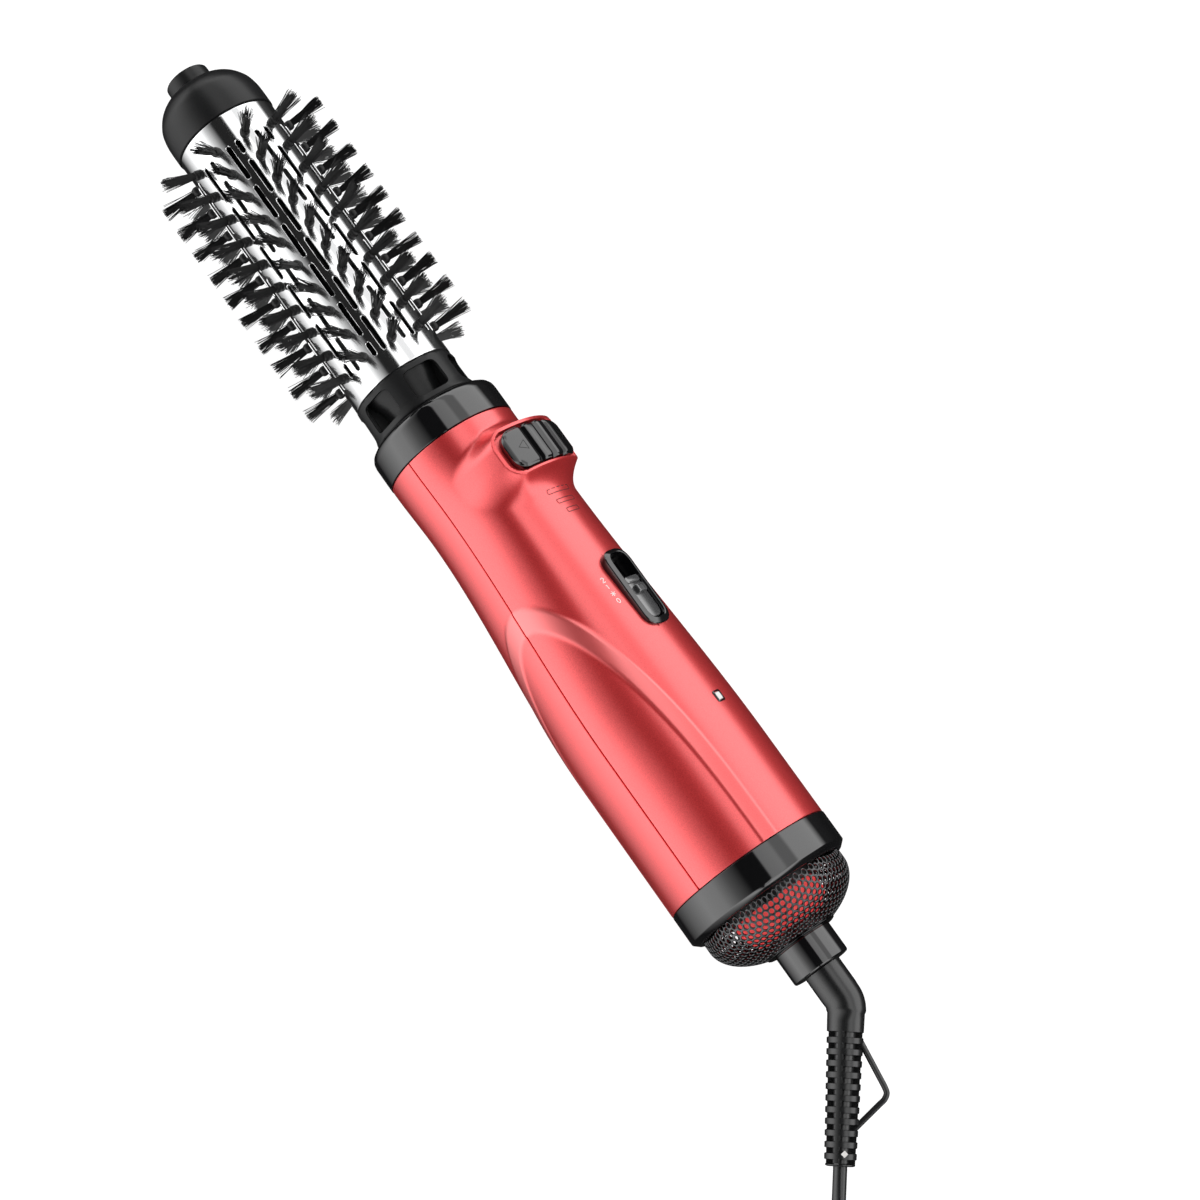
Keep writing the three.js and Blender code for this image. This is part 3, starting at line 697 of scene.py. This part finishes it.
def casing_detail(station, turn_from_pod):
    """What the skin carries: the control's pocket, the switch's well, the arch and the edge of each half."""
    arc = np.radians(turn_from_pod) * POD_RADIUS
    half_pocket = math.radians(32.4) * POD_RADIUS
    pocket = rounded_box_distance(arc, station - CONTROL_AT, half_pocket, 7.8, 4.9)
    sink = -2.6 * smooth(0.12, -0.12, pocket)
    well = rounded_box_distance(np.radians(turn_from_pod) * 27.5, station - 135.75, 5.4, 14.1, 4.6)
    sink = sink - 4.5 * smooth(0.5, -0.5, well)
    seam_turn = from_rear_seam(turn_from_pod)
    band = 0.3 * smooth(-0.3, 0.7, arch_inside(station, seam_turn, *OUTER_ARCH))
    panel = -0.3 * smooth(-0.5, 0.7, arch_inside(station, seam_turn, *INNER_ARCH))
    seam = -0.34 * (1 - smooth(0.2, 0.75, seam_gap(turn_from_pod)))
    return sink + panel + band + seam


def band_highlight_share(station, turn_from_pod):
    """How much of the arch band's painted highlight a place has, more toward the front."""
    seam_turn = from_rear_seam(turn_from_pod)
    inside = smooth(-0.5, 0.5, arch_inside(station, seam_turn, *OUTER_ARCH))
    past = 1 - smooth(-0.8, 0.8, arch_inside(station, seam_turn, *INNER_ARCH))
    return inside * past * (0.25 + 0.5 * smooth(60, 130, station))


def casing_half(name, first, last, node):
    """One half of the casing, between two turns from the pod's crest."""
    rear, front = CASING
    fine = np.arange(-36, 36.01, 0.6)
    edges = [first + 0.2, first + 0.4, first + 0.75, last - 0.75, last - 0.4, last - 0.2]
    turns = [np.arange(first, last + 0.01, 1.0), fine[(fine > first) & (fine < last)], edges]
    turns = np.unique(np.round(np.concatenate(turns), 3))
    ends = [front - 0.25, front, rear + 0.25]
    stations = [np.arange(rear, front, 0.8), np.arange(183, 206, 0.35), ends]
    stations = np.unique(np.round(np.concatenate(stations), 3))
    s, turn = np.meshgrid(stations, turns, indexing="ij")
    radius = casing_radius(s, turn) + casing_detail(s, turn)
    radius -= 0.2 * (1 - smooth(0, 0.3, s - rear)) + 0.2 * (1 - smooth(0, 0.3, front - s))
    outer = polar(radius, turn + POD_TURN, s)
    points, faces = slab(outer, polar(WALL, turn + POD_TURN, 0 * s))
    made = piece(name, points, faces, "red_casing", "handle", node, sharp=50, weld=0)
    # The arch band's painted highlight, kept as a point attribute.
    share = band_highlight_share(s, turn).ravel()
    band = made.data.attributes.new("band", "FLOAT", "POINT")
    band.data.foreach_set("value", np.concatenate([share, share]).astype(np.float32))
    return made


def on_casing(x, s, lift):
    """A point over the casing, x across it from the pod's crest."""
    turn = math.degrees(x / float(casing_radius(np.array(s), np.array(0.0))))
    radius = float(casing_radius(np.array(float(s)), np.array(turn))) + lift
    return polar(radius, turn + POD_TURN, s)


def crest_marks():
    """Three pill-shaped grooves on the crest behind the control, drawn as thin dark rings just proud of the
    skin: painted shade.
    """
    # The rings' near-black red is painted shade in the grooves; ink is their width.
    half_width, ink, sunk, proud = 0.65, 0.27, -0.3, 0.04
    for i, (s, half) in enumerate(((178.2, 5.9), (174, 4.5), (170, 3.0))):
        inner = rounded(rectangle(-half, half, -half_width, half_width), 0.6, steps=5)
        wide, high = half + ink, half_width + ink
        outer = rounded(rectangle(-wide, wide, -high, high), 0.75, steps=5)
        loops = []
        for flat, lift in ((outer, sunk), (outer, proud), (inner, proud), (inner, sunk)):
            dense = closely(flat, (0, 0.25, 0.5, 0.75))
            loops.append(np.array([on_casing(x, s + y, lift) for x, y in dense]))
        loft(f"crest_mark_{i + 1}", loops, "groove", "handle", closed=True, slot="red_casing", sharp=30)


def rings_and_sleeve():
    """The gloss rings at the casing's ends, the cord sleeve, and the swivel collar inside it."""
    lathe("rear_ring_gloss", [
        (26.4, 28.6, 0.2), (28.3, 28.6, 0.25), (30.3, 30.4, 0.3), (30.3, 41.3, 0.35), (27.4, 41.3, 0.2),
        (27.4, 45.5, 0.2), (26.4, 45.5, 0.2),
    ], "gloss_black", "handle", "rear_ring", segments=160, sharp=25)
    lathe("front_ring_gloss", [
        (20.5, 208.5, 0.2), (21.9, 208.5, 0.2), (21.9, 214.4, 0.1), (24.65, 214.4, 0.35),
        (24.65, 226.2, 2.4), (20.9, 227.85, 0.6), (20.5, 227.6, 0.2),
    ], "gloss_black", "handle", "front_ring", segments=160, sharp=25)
    lathe("cord_sleeve_gloss", [
        (5.4, 0.1, 0.2), (10.5, 0.1, 0.9), (10.5, 11, 0.3), (9.1, 11.2, 0.2), (9.1, 20, 0.2), (5.4, 20, 0.2),
    ], "gloss_black", "handle", "cord_sleeve", segments=120, sharp=25)
    lathe("swivel_collar", [
        (0, 0.3, 0.1), (4.8, 0.3, 0.2), (4.8, 20.6, 0.2), (7.9, 20.6, 0.2), (7.9, 22.9, 0.2), (0, 22.9, 0.1),
    ], "charcoal", "cord_set", "swivel_shaft", segments=64, closed=False)


def bell():
    """The red end of the motor, and the dark drum and flange that it stands on."""
    # Its material glows a little: painted light.
    lathe("motor_bell_red", [
        (9.8, 15.6, 0.4), (13, 17, 1.2), (15.6, 20, 1.2), (16, 22, 1), (16, 26.5, 0.2),
        (15, 26.5, 0.2), (14.8, 22, 0.5), (12.2, 18.4, 1), (9.8, 17.1, 0.3),
    ], "bell", "handle", "motor_bell", segments=96)
    lathe("motor_flange", [
        (15.4, 26.5, 0.2), (17.2, 26.5, 0.4), (17.2, 31.8, 0.4), (24.1, 33.2, 0.6), (24.1, 37.8, 0.3),
        (15.4, 37.8, 0.2),
    ], "charcoal", "handle", segments=96)


# The dome's meridian: a quarter ellipse from the mouth round the sleeve to the rear ring.
DOME = dict(centre=2, radius=27.05, depth=14.85, mouth=11.0, base=25.2, rim=28.3, wall=0.6)
# Its perforation, as laid flat: the sheet is drawn in by the spread as it goes over the dome.
HOLES = dict(pitch=2.15, radius=0.80, spread=0.85)


def dome_meridian():
    """Arc lengths from the middle of the dome, with the radius and station at each."""
    reach = DOME["radius"] - DOME["centre"]
    first = math.asin((DOME["mouth"] - DOME["centre"]) / reach)
    t = np.linspace(first, math.pi / 2, 200)
    radius = np.append(DOME["centre"] + reach * np.sin(t), DOME["radius"])
    station = np.append(DOME["base"] - DOME["depth"] * np.cos(t), DOME["rim"])
    step = np.hypot(np.diff(radius), np.diff(station))
    return DOME["mouth"] + np.concatenate([[0], np.cumsum(step)]), radius, station


def grille():
    """A pressed dome of perforated sheet: hexagonal cells, each with a round hole, laid over the dome."""
    length, radius, station = dome_meridian()
    pitch = HOLES["pitch"]
    row_pitch = pitch * math.sqrt(3) / 2
    length = length * HOLES["spread"]
    first, reach = DOME["mouth"] * HOLES["spread"], length[-1]
    angles = np.radians(30) + full_turn(12)
    circle = np.stack([np.cos(angles), np.sin(angles)], -1)
    hexagon = pitch / math.sqrt(3) * np.array(closely(circle[::2], (0, 0.5)))
    hole = HOLES["radius"] * circle
    points, faces = [], []
    rows = int(reach / row_pitch) + 1
    for row in range(-rows, rows + 1):
        for column in range(-rows - 2, rows + 3):
            centre = np.array([(column + 0.5 * (row % 2)) * pitch, row * row_pitch])
            if first + 0.4 < math.hypot(*centre) < reach - 0.2:
                faces += grid_faces(2, 12, len(points), wrap=True)
                points += [*(centre + hexagon), *(centre + hole)]
    flat = np.array(points)
    away = np.hypot(flat[:, 0], flat[:, 1])
    turn = np.degrees(np.arctan2(flat[:, 0], flat[:, 1]))
    solid = polar(np.interp(away, length, radius), turn, np.interp(away, length, station))
    mesh = piece("intake_mesh", solid, faces, "grille", "handle", "intake_grille", weld=2e-5, sharp=50)
    thicken(mesh, DOME["wall"])
    lathe("intake_mouth", [
        (10.85, 10.9, 0.1), (12.4, 11.2, 0.2), (13.1, 11.55, 0.1), (12.8, 12.3, 0.1), (10.85, 11.8, 0.1),
    ], "grille", "handle", segments=120)


# ---- controls ----


def rotate_control():
    """The saddle that starts the barrel turning: two ridges between two rounded pads, and their arrows."""
    half_turn, half_length, corner, low, high = 28.8, 7.2, 4.8, 31.05, 34.25
    turns = np.concatenate([np.linspace(-half_turn, half_turn, 110), np.arange(-18, 18.1, 0.25)])
    turns = np.unique(np.round(turns, 3))
    across = np.array([0.3, 0.6, 0.8, 0.9, 0.95, 0.985, 1])
    across = np.concatenate([-across[::-1], [0], across])
    end = np.radians(half_turn - np.abs(turns)) * high
    curved = half_length - corner + np.sqrt(np.maximum(corner**2 - (corner - end) ** 2, 0))
    half = np.where(end < corner, curved, half_length)
    turn, v = np.meshgrid(turns, across, indexing="ij")
    station = CONTROL_AT + v * half[:, None]
    edge = np.minimum(half[:, None] * (1 - np.abs(v)), end[:, None])
    radius = high - 0.8 * (1 - smooth(0, 1.1, edge))
    for middle in (-10.5, 0, 10.5):
        radius = radius - np.interp(np.abs(turn - middle), [0, 2, 3.5], [1.3, 0.25, 0])
    top = polar(radius, turn + POD_TURN, station)
    under = polar(np.full_like(radius, low), turn + POD_TURN, station)
    points, faces = slab(top, top - under)
    piece("rotate_saddle", points, faces, "gloss_black", "control", "rotate_control", sharp=28, weld=0)
    base, apex, half_base = 15.9, 21.6, 1.95
    for word, side in (("left", -1), ("right", 1)):
        feet = [(side * base, CONTROL_AT + half_base), (side * base, CONTROL_AT - half_base)]
        outline = np.array([(side * apex, CONTROL_AT), *feet][::side])
        centre = outline.mean(0)
        loops = []
        for grow, lift in ((1.0, -0.1), (1.0, 0.04), (0.84, 0.04), (0.84, -0.1)):
            dense = closely(centre + (outline - centre) * grow, np.arange(10) / 10)
            loops.append(np.array([polar(high + lift, t + POD_TURN, s) for t, s in dense]))
        loft(f"saddle_arrow_{word}", loops, "charcoal", "control", closed=True,
             slot="gloss_black", sharp=30)


def pod_ring(half_x, s0, s1, z, corner, steps=9):
    """A rounded rectangle at one height over the axis, turned to where the controls face."""
    flat = rounded(rectangle(-half_x, half_x, s0, s1), corner, steps=steps)
    return turned(np.column_stack([flat, np.full(len(flat), z)]), POD_TURN)


def power_switch():
    """A raised black frame round a long well, with the slider and its small square nib."""
    frame_rings = [
        (6.5, 120.7, 150.8, 26.4, 5.4), (6.5, 120.7, 150.8, 29.1, 5.4), (6.3, 120.9, 150.6, 29.4, 5.3),
        (4.8, 122.5, 149.45, 29.98, 4.2), (4.55, 122.9, 149.15, 29.85, 3.9), (4.3, 123.1, 149.0, 28.9, 3.8),
        (4.25, 123.2, 148.95, 24.7, 3.8), (5.6, 122.2, 149.9, 24.7, 4.4),
    ]
    loft("switch_frame", [pod_ring(*ring) for ring in frame_rings], "gloss_black", "handle",
         "switch_bezel", closed=True, sharp=30)
    loft("switch_well_floor", [pod_ring(4.6, 122.9, 149.3, z, 3.9) for z in (23.9, 24.6)],
         "gloss_black", "handle", sharp=30)

    def block(half_x, s0, s1, levels):
        return [pod_ring(half_x - inset, s0 + inset, s1 - inset, z, corner) for z, inset, corner in levels]

    plate = [(24.9, 0, 3.4), (28.3, 0, 3.4), (28.7, 0.15, 3.3), (28.9, 0.6, 3.0)]
    loft("slider_plate", block(3.9, 123.6, 140.1, plate), "slider", "slider", "power_slider", sharp=28)
    nib = [(27.6, 0, 0.9), (30.3, 0, 0.9), (30.7, 0.25, 0.8), (30.75, 0.6, 0.7), (30.3, 0.75, 0.6)]
    loft("slider_nib", block(2.25, 132.9, 136.1, nib), "slider", "slider", slot="gloss_black", sharp=28)
    stop = [(28.6, 0, 1.1), (29.3, 0.15, 1.1), (29.5, 0.6, 0.9)]
    loft("slider_stop", block(3.8, 137.2, 139.9, stop), "slider", "slider", slot="gloss_black", sharp=28)


def indicator():
    """A small clear lens in a black frame."""
    def ring(half_x, half_s, z, corner):
        return pod_ring(half_x, 90.1 - half_s, 90.1 + half_s, z, corner, steps=5)

    lens = [(1.3, 1.45, 27.2, 0.4), (1.3, 1.45, 29.9, 0.4), (1.1, 1.25, 30.15, 0.4)]
    loft("lens_cap", [ring(*level) for level in lens], "lens", "handle", "indicator_lens", sharp=30)
    rim = [(2.0, 2.15, 28.4, 0.7), (2.0, 2.15, 30.02, 0.7), (1.8, 1.95, 30.16, 0.7),
           (1.42, 1.57, 30.16, 0.5), (1.42, 1.57, 28.4, 0.5)]
    loft("lens_frame", [ring(*level) for level in rim], "gloss_black", "handle", closed=True, sharp=30)


def print_strokes(name, strokes, width=0.3, lift=0.035, depth=-0.1):
    """Printed marks on the casing: short lines of ink, each a thin raised bar that follows the skin."""
    points, faces = [], []
    for line in strokes:
        line = np.array(line, float)
        dense = np.array(closely(line, np.arange(5) / 5, closed=False) + [line[-1]])
        along = np.gradient(dense, axis=0)
        along /= np.linalg.norm(along, axis=1)[:, None] + 1e-9
        side = np.stack([-along[:, 1], along[:, 0]], -1) * width / 2
        base = len(points)
        for a, b in zip(dense + side, dense - side):
            points += [on_casing(*a, depth), on_casing(*a, lift), on_casing(*b, lift), on_casing(*b, depth)]
        faces += grid_faces(len(dense), 4, base, wrap=True)
        last = base + 4 * (len(dense) - 1)
        faces += [(base + 3, base + 2, base + 1, base), (last, last + 1, last + 2, last + 3)]
    return piece(name, points, faces, "print", "handle", slot="lens", sharp=30)


def switch_marks():
    """The switch positions beside it: 2, 1, a snowflake and 0."""
    crest, size = -9.8, 0.95

    def at(s, shape):
        return [[(crest + size * along, s + size * up) for along, up in line] for line in shape]

    two = [[(-0.6, 0.5), (-0.35, 0.9), (0.3, 0.9), (0.6, 0.45), (-0.6, -0.9), (0.65, -0.9)]]
    one = [[(-0.35, 0.55), (0.0, 0.9), (0.0, -0.9)]]
    arms = np.radians([30, 90, 150])
    flake = [[(math.cos(a), math.sin(a)), (-math.cos(a), -math.sin(a))] for a in arms]
    nought = [[(0.6 * math.cos(a), 0.9 * math.sin(a)) for a in np.linspace(0, 2 * math.pi, 13)]]
    print_strokes("switch_marks", at(142.6, two) + at(139.8, one) + at(136.9, flake) + at(134.0, nought))


# ---- turning head ----

COLLAR = dict(low=228.3, high=243.25, middle=235.65, half_cell=30)
WINDOW = dict(half_turn=20, low=230.4, high=240.9, corner=3.0)


def collar_cell(middle):
    """A sixth of the collar: loops from a rounded window out to the cell's border, and its corners."""
    def skin(flat, drop=0.0):
        radius = np.interp(flat[:, 1], [228.25, 229, 231.5, 236, 243.3], [20.3, 20.15, 19.6, 19.4, 19.35])
        return list(polar(radius - drop, flat[:, 0] + middle, flat[:, 1]))

    # The window is laid out in millimetres, so that its corners stay round, and then put into degrees
    arc = math.radians(1) * 19.6
    half = WINDOW["half_turn"] * arc
    outline = rectangle(-half, half, WINDOW["low"], WINDOW["high"])
    window = rounded(outline, WINDOW["corner"], steps=9) / [arc, 1]
    low, high, centre = COLLAR["low"], COLLAR["high"], np.array([0, COLLAR["middle"]])
    edge = []
    for p in window:
        away = p - centre
        limits = (COLLAR["half_cell"], high - centre[1] if away[1] > 0 else centre[1] - low)
        edge.append(centre + away * min(limit / abs(d) for limit, d in zip(limits, away) if d))
    edge = np.array(edge)
    points = []
    for share in (0, 0.04, 0.35, 0.7, 1.0):
        points += skin(window + (edge - window) * share, 0.35 if share == 0 else 0)
    faces = grid_faces(5, len(window), wrap=True)
    last_loop = 4 * len(window)
    for corner in rectangle(-COLLAR["half_cell"], COLLAR["half_cell"], low, high):
        near = np.argsort(np.hypot(*(edge - corner).T))[:2]
        if abs(edge[near[0]] - corner).max() > 1e-6:
            faces.append((last_loop + near[0], last_loop + near[1], len(points)))
            points += skin(np.array([corner]))
    return points, faces


def head_base():
    """The collar between the handle and the barrel: six rounded windows, with ribs behind them."""
    points, faces = [], []
    for k in range(6):
        cell_points, cell_faces = collar_cell(23 + 60 * k)
        faces += [tuple(len(points) + i for i in face) for face in cell_faces]
        points += cell_points
    collar = piece("head_collar", np.array(points), faces, "charcoal", "brush_head", "head_base",
                   weld=1e-5, sharp=35)
    thicken(collar, 2.2)
    lathe("head_core", [
        (2.8, 229, 0.2), (12.2, 229, 0.6), (13.4, 236, 1), (16.3, 243, 0.4), (16.3, 246.8, 0.3),
        (2.8, 246.8, 0.2),
    ], "charcoal", "brush_head", segments=72)
    for k in range(6):
        flat = rectangle(-0.9, 0.9, 10, 17.3)
        loops = [turned([(x, s, z) for x, z in flat], 60 * k + 53) for s in (229.2, 243)]
        loft(f"head_rib_{k + 1}", loops, "charcoal", "brush_head")


# The barrel's slots, in millimetres and degrees: two rows between the columns of bristles. Each cell
# is as long as the pitch, and is laid in eight steps.
SLOT = dict(first=251.7, pitch=17.2, gap=3.1, width=1.8, turn=6.0, half_cell=4.5, steps=8, cells=5.5)


def slot_cell(middle, s0, s1):
    """A cell of the unrolled tube round one pill slot, as turns and stations."""
    step = SLOT["pitch"] / SLOT["steps"]
    arc = math.radians(1) * BARREL_RADIUS
    across = SLOT["half_cell"]
    count = round((s1 - s0) / step)
    border = [(-across, s0 + i * step) for i in range(count)]
    border += [(across * (i / 2 - 1), s1) for i in range(4)]
    border += [(across, s1 - i * step) for i in range(count)]
    border += [(across * (1 - i / 2), s0) for i in range(4)]
    half, low, high = SLOT["width"] / 2, s0 + SLOT["gap"] / 2, s1 - SLOT["gap"] / 2
    hole = []
    for t, s in border:
        along = np.clip(s, low + half, high - half)
        away = np.array([t * arc, s - along])
        if abs(away[1]) < 1e-9:
            share = (s - (s0 + s1) / 2) / ((s1 - s0) / 2)
            along = (low + high) / 2 + share * ((high - low) / 2 - half)
            away = np.array([t * arc, 0.0])
        away = away / np.linalg.norm(away) * half
        hole.append((away[0] / arc, along + away[1]))
    border, hole = np.array(border), np.array(hole)
    rings = np.concatenate([border, border * 0.25 + hole * 0.75, hole])
    return rings + [middle, 0], grid_faces(3, len(border), wrap=True, flip=True)


def barrel():
    """The polished tube, unrolled cell by cell: each cell has a pill slot or is plain."""
    pitch = SLOT["pitch"]
    step = pitch / SLOT["steps"]
    start = SLOT["first"] - SLOT["gap"] / 2
    zone = start + SLOT["cells"] * pitch
    points, faces = [], []

    def add(flat_points, quads):
        faces.extend(tuple(len(points) + i for i in quad) for quad in quads)
        points.extend(flat_points)

    def strip(turns, stations):
        add([(t, s) for s in stations for t in turns], grid_faces(len(stations), len(turns)))

    inside = [start + i * step for i in range(int(SLOT["cells"] * SLOT["steps"]) + 1)]
    even = [start + i * pitch for i in range(6)] + [zone]
    staggered = [start] + [start + (i + 0.5) * pitch for i in range(6)]
    for k in range(COLUMNS):
        middle = COLUMN_TURN * k
        for side, edges in ((-1, staggered), (1, even)):
            for a, b in zip(edges, edges[1:]):
                add(*slot_cell(middle + side * SLOT["turn"], a, b))
        strip([middle - 1.5, middle, middle + 1.5], inside)
        strip([middle + 10.5 + 1.5 * i for i in range(11)], inside)
    in_column = [-10.5, -8.25, -6, -3.75, -1.5, 0, 1.5, 3.75, 6, 8.25, *[10.5 + 1.5 * i for i in range(10)]]
    rest = sorted({COLUMN_TURN * k + t for k in range(COLUMNS) for t in in_column})
    rest.append(rest[0] + 360)
    strip(rest, [243.6, 244.2, start - 2, start])
    strip(rest, [zone, zone + 2, 353.6, 354.2])
    flat = np.array(points)
    solid = polar(BARREL_RADIUS, flat[:, 0], flat[:, 1])
    made = piece("barrel_tube", solid, faces, "barrel", "brush_head", "brush_barrel",
                 weld=2e-5, sharp=60)
    thicken(made, 0.7)
    lathe("barrel_lining", [(14.6, 248, 0.1), (15.2, 248, 0.1), (15.2, 352, 0.1), (14.6, 352, 0.1)],
          "charcoal", "brush_head", segments=60)


# A tuft: how many strands, rings along each, where they start, their half width and greatest spread.
TUFT = dict(strands=76, rings=6, low=18.4, half_width=0.165, reach=2.75)
# The moulded socket round a tuft's root: radius and height.
SOCKET = [(1.5, 18.6), (1.8, 19.3), (1.8, 20.2), (1.45, 21.0), (0.8, 21.2)]


def tuft(middle, points, faces):
    """Adds one tuft of nylon, which parts into a few clumps, and its socket."""
    strands, rings = TUFT["strands"], TUFT["rings"]
    clumps = RANDOM.uniform(-1, 1, (3, 2)) * 1.35
    lean = RANDOM.normal(0, 0.25, 2)
    root = RANDOM.normal(0, 0.5, (strands, 2)).clip(-0.95, 0.95)
    spread = root * 2.3 + RANDOM.normal(0, 0.45, (strands, 2))
    spread = spread + clumps[RANDOM.integers(0, 3, strands)] * 0.75 + lean
    size = np.linalg.norm(spread, axis=1)
    spread *= (np.minimum(size, TUFT["reach"]) / np.maximum(size, 1e-6))[:, None]
    tops = TUFT_TIP - 0.3 - np.abs(RANDOM.normal(0, 0.9, strands))
    t = np.linspace(0, 1, rings)
    for (rx, ry), (ex, ey), top in zip(root, spread, tops):
        wave = RANDOM.normal(0, 0.12, 2)
        height = TUFT["low"] + (top - TUFT["low"]) * t
        x = rx + (ex - rx) * t**1.25 + wave[0] * np.sin(t * 5)
        y = ry + (ey - ry) * t**1.25 + wave[1] * np.sin(t * 5)
        width = TUFT["half_width"] * (1 - 0.4 * t)
        base = len(points)
        for xx, yy, hh, w in zip(x, y, height, width):
            points += [(xx + w * math.cos(a), middle + yy + w * math.sin(a), hh) for a in (0.5, 2.6, 4.7)]
        end = base + 3 * rings
        faces += grid_faces(rings, 3, base, wrap=True) + [(end - 3, end - 2, end - 1)]
    faces += grid_faces(len(SOCKET), 20, len(points), wrap=True)
    for radius, height in SOCKET:
        points += [(radius * math.cos(a), middle + radius * math.sin(a), height) for a in full_turn(20)]


def bristles():
    """Each strip: ten tufts, and a rail inside the barrel."""
    for column in range(COLUMNS):
        points, faces = [], []
        for ring in range(RINGS):
            tuft(FIRST_RING + RING_PITCH * ring, points, faces)
        base = len(points)
        for s in (250.6, 347):
            points += [(x, s, z) for x, z in rectangle(-2.5, 2.5, 15.45, 17.1)]
        faces += grid_faces(2, 4, base, wrap=True)
        faces += [(base + 3, base + 2, base + 1, base), (base + 4, base + 5, base + 6, base + 7)]
        points = turned(points, COLUMN_TURN * (column + 0.5))
        piece(f"bristles_{column + 1}", points, faces, "bristles", "brush_head",
              f"bristle_strip_{column + 1}", weld=0, sharp=60)


def tip():
    """The end cap and the cool tip that the other hand holds."""
    lathe("end_cap_round", [
        (16.2, 348, 0.2), (17.2, 348, 0.2), (17.2, 354.45, 0.1), (19.4, 354.5, 0.35), (19.4, 362.5, 2.5),
        (18.5, 366.8, 1.2), (17.3, 369, 1.2), (15.75, 371.2, 1.5), (12.6, 373.9, 2.2), (8.9, 374.25, 0.3),
        (8.6, 373.6, 0.2), (4.5, 373.6, 0.2), (4.5, 371.6, 0.2), (11, 371.6, 0.6), (16.2, 363, 1),
    ], "charcoal", "brush_head", "end_cap", sharp=30)
    dished = TIP - 0.35
    lathe("cool_tip", [
        (0, 368.2, 0), (3.9, 368.2, 0.3), (3.9, 373.9, 0.2), (8.2, 373.9, 0.2), (8.2, TIP, 1.1),
        (6.2, TIP, 0.5), (5.9, dished, 0.3), (0, dished, 0),
    ], "charcoal", "brush_head", "tip_knob", segments=96, closed=False, sharp=30)


# ---- the scene ----

camera()
studio()
finish_cad_nodes()
cord_piece, cord_path, cord_length = cord()
relief, relief_mark = strain_relief()
loop = hang_loop()
tie = cord_tie()
plug_pieces = plug()

casing_half("casing_upper", PARTING - 90, 90 - PARTING, "upper_shell")
casing_half("casing_lower", 90 + PARTING, 270 - PARTING, "lower_shell")
crest_marks()
rings_and_sleeve()
bell()
grille()
rotate_control()
power_switch()
indicator()
switch_marks()
head_base()
barrel()
bristles()
tip()
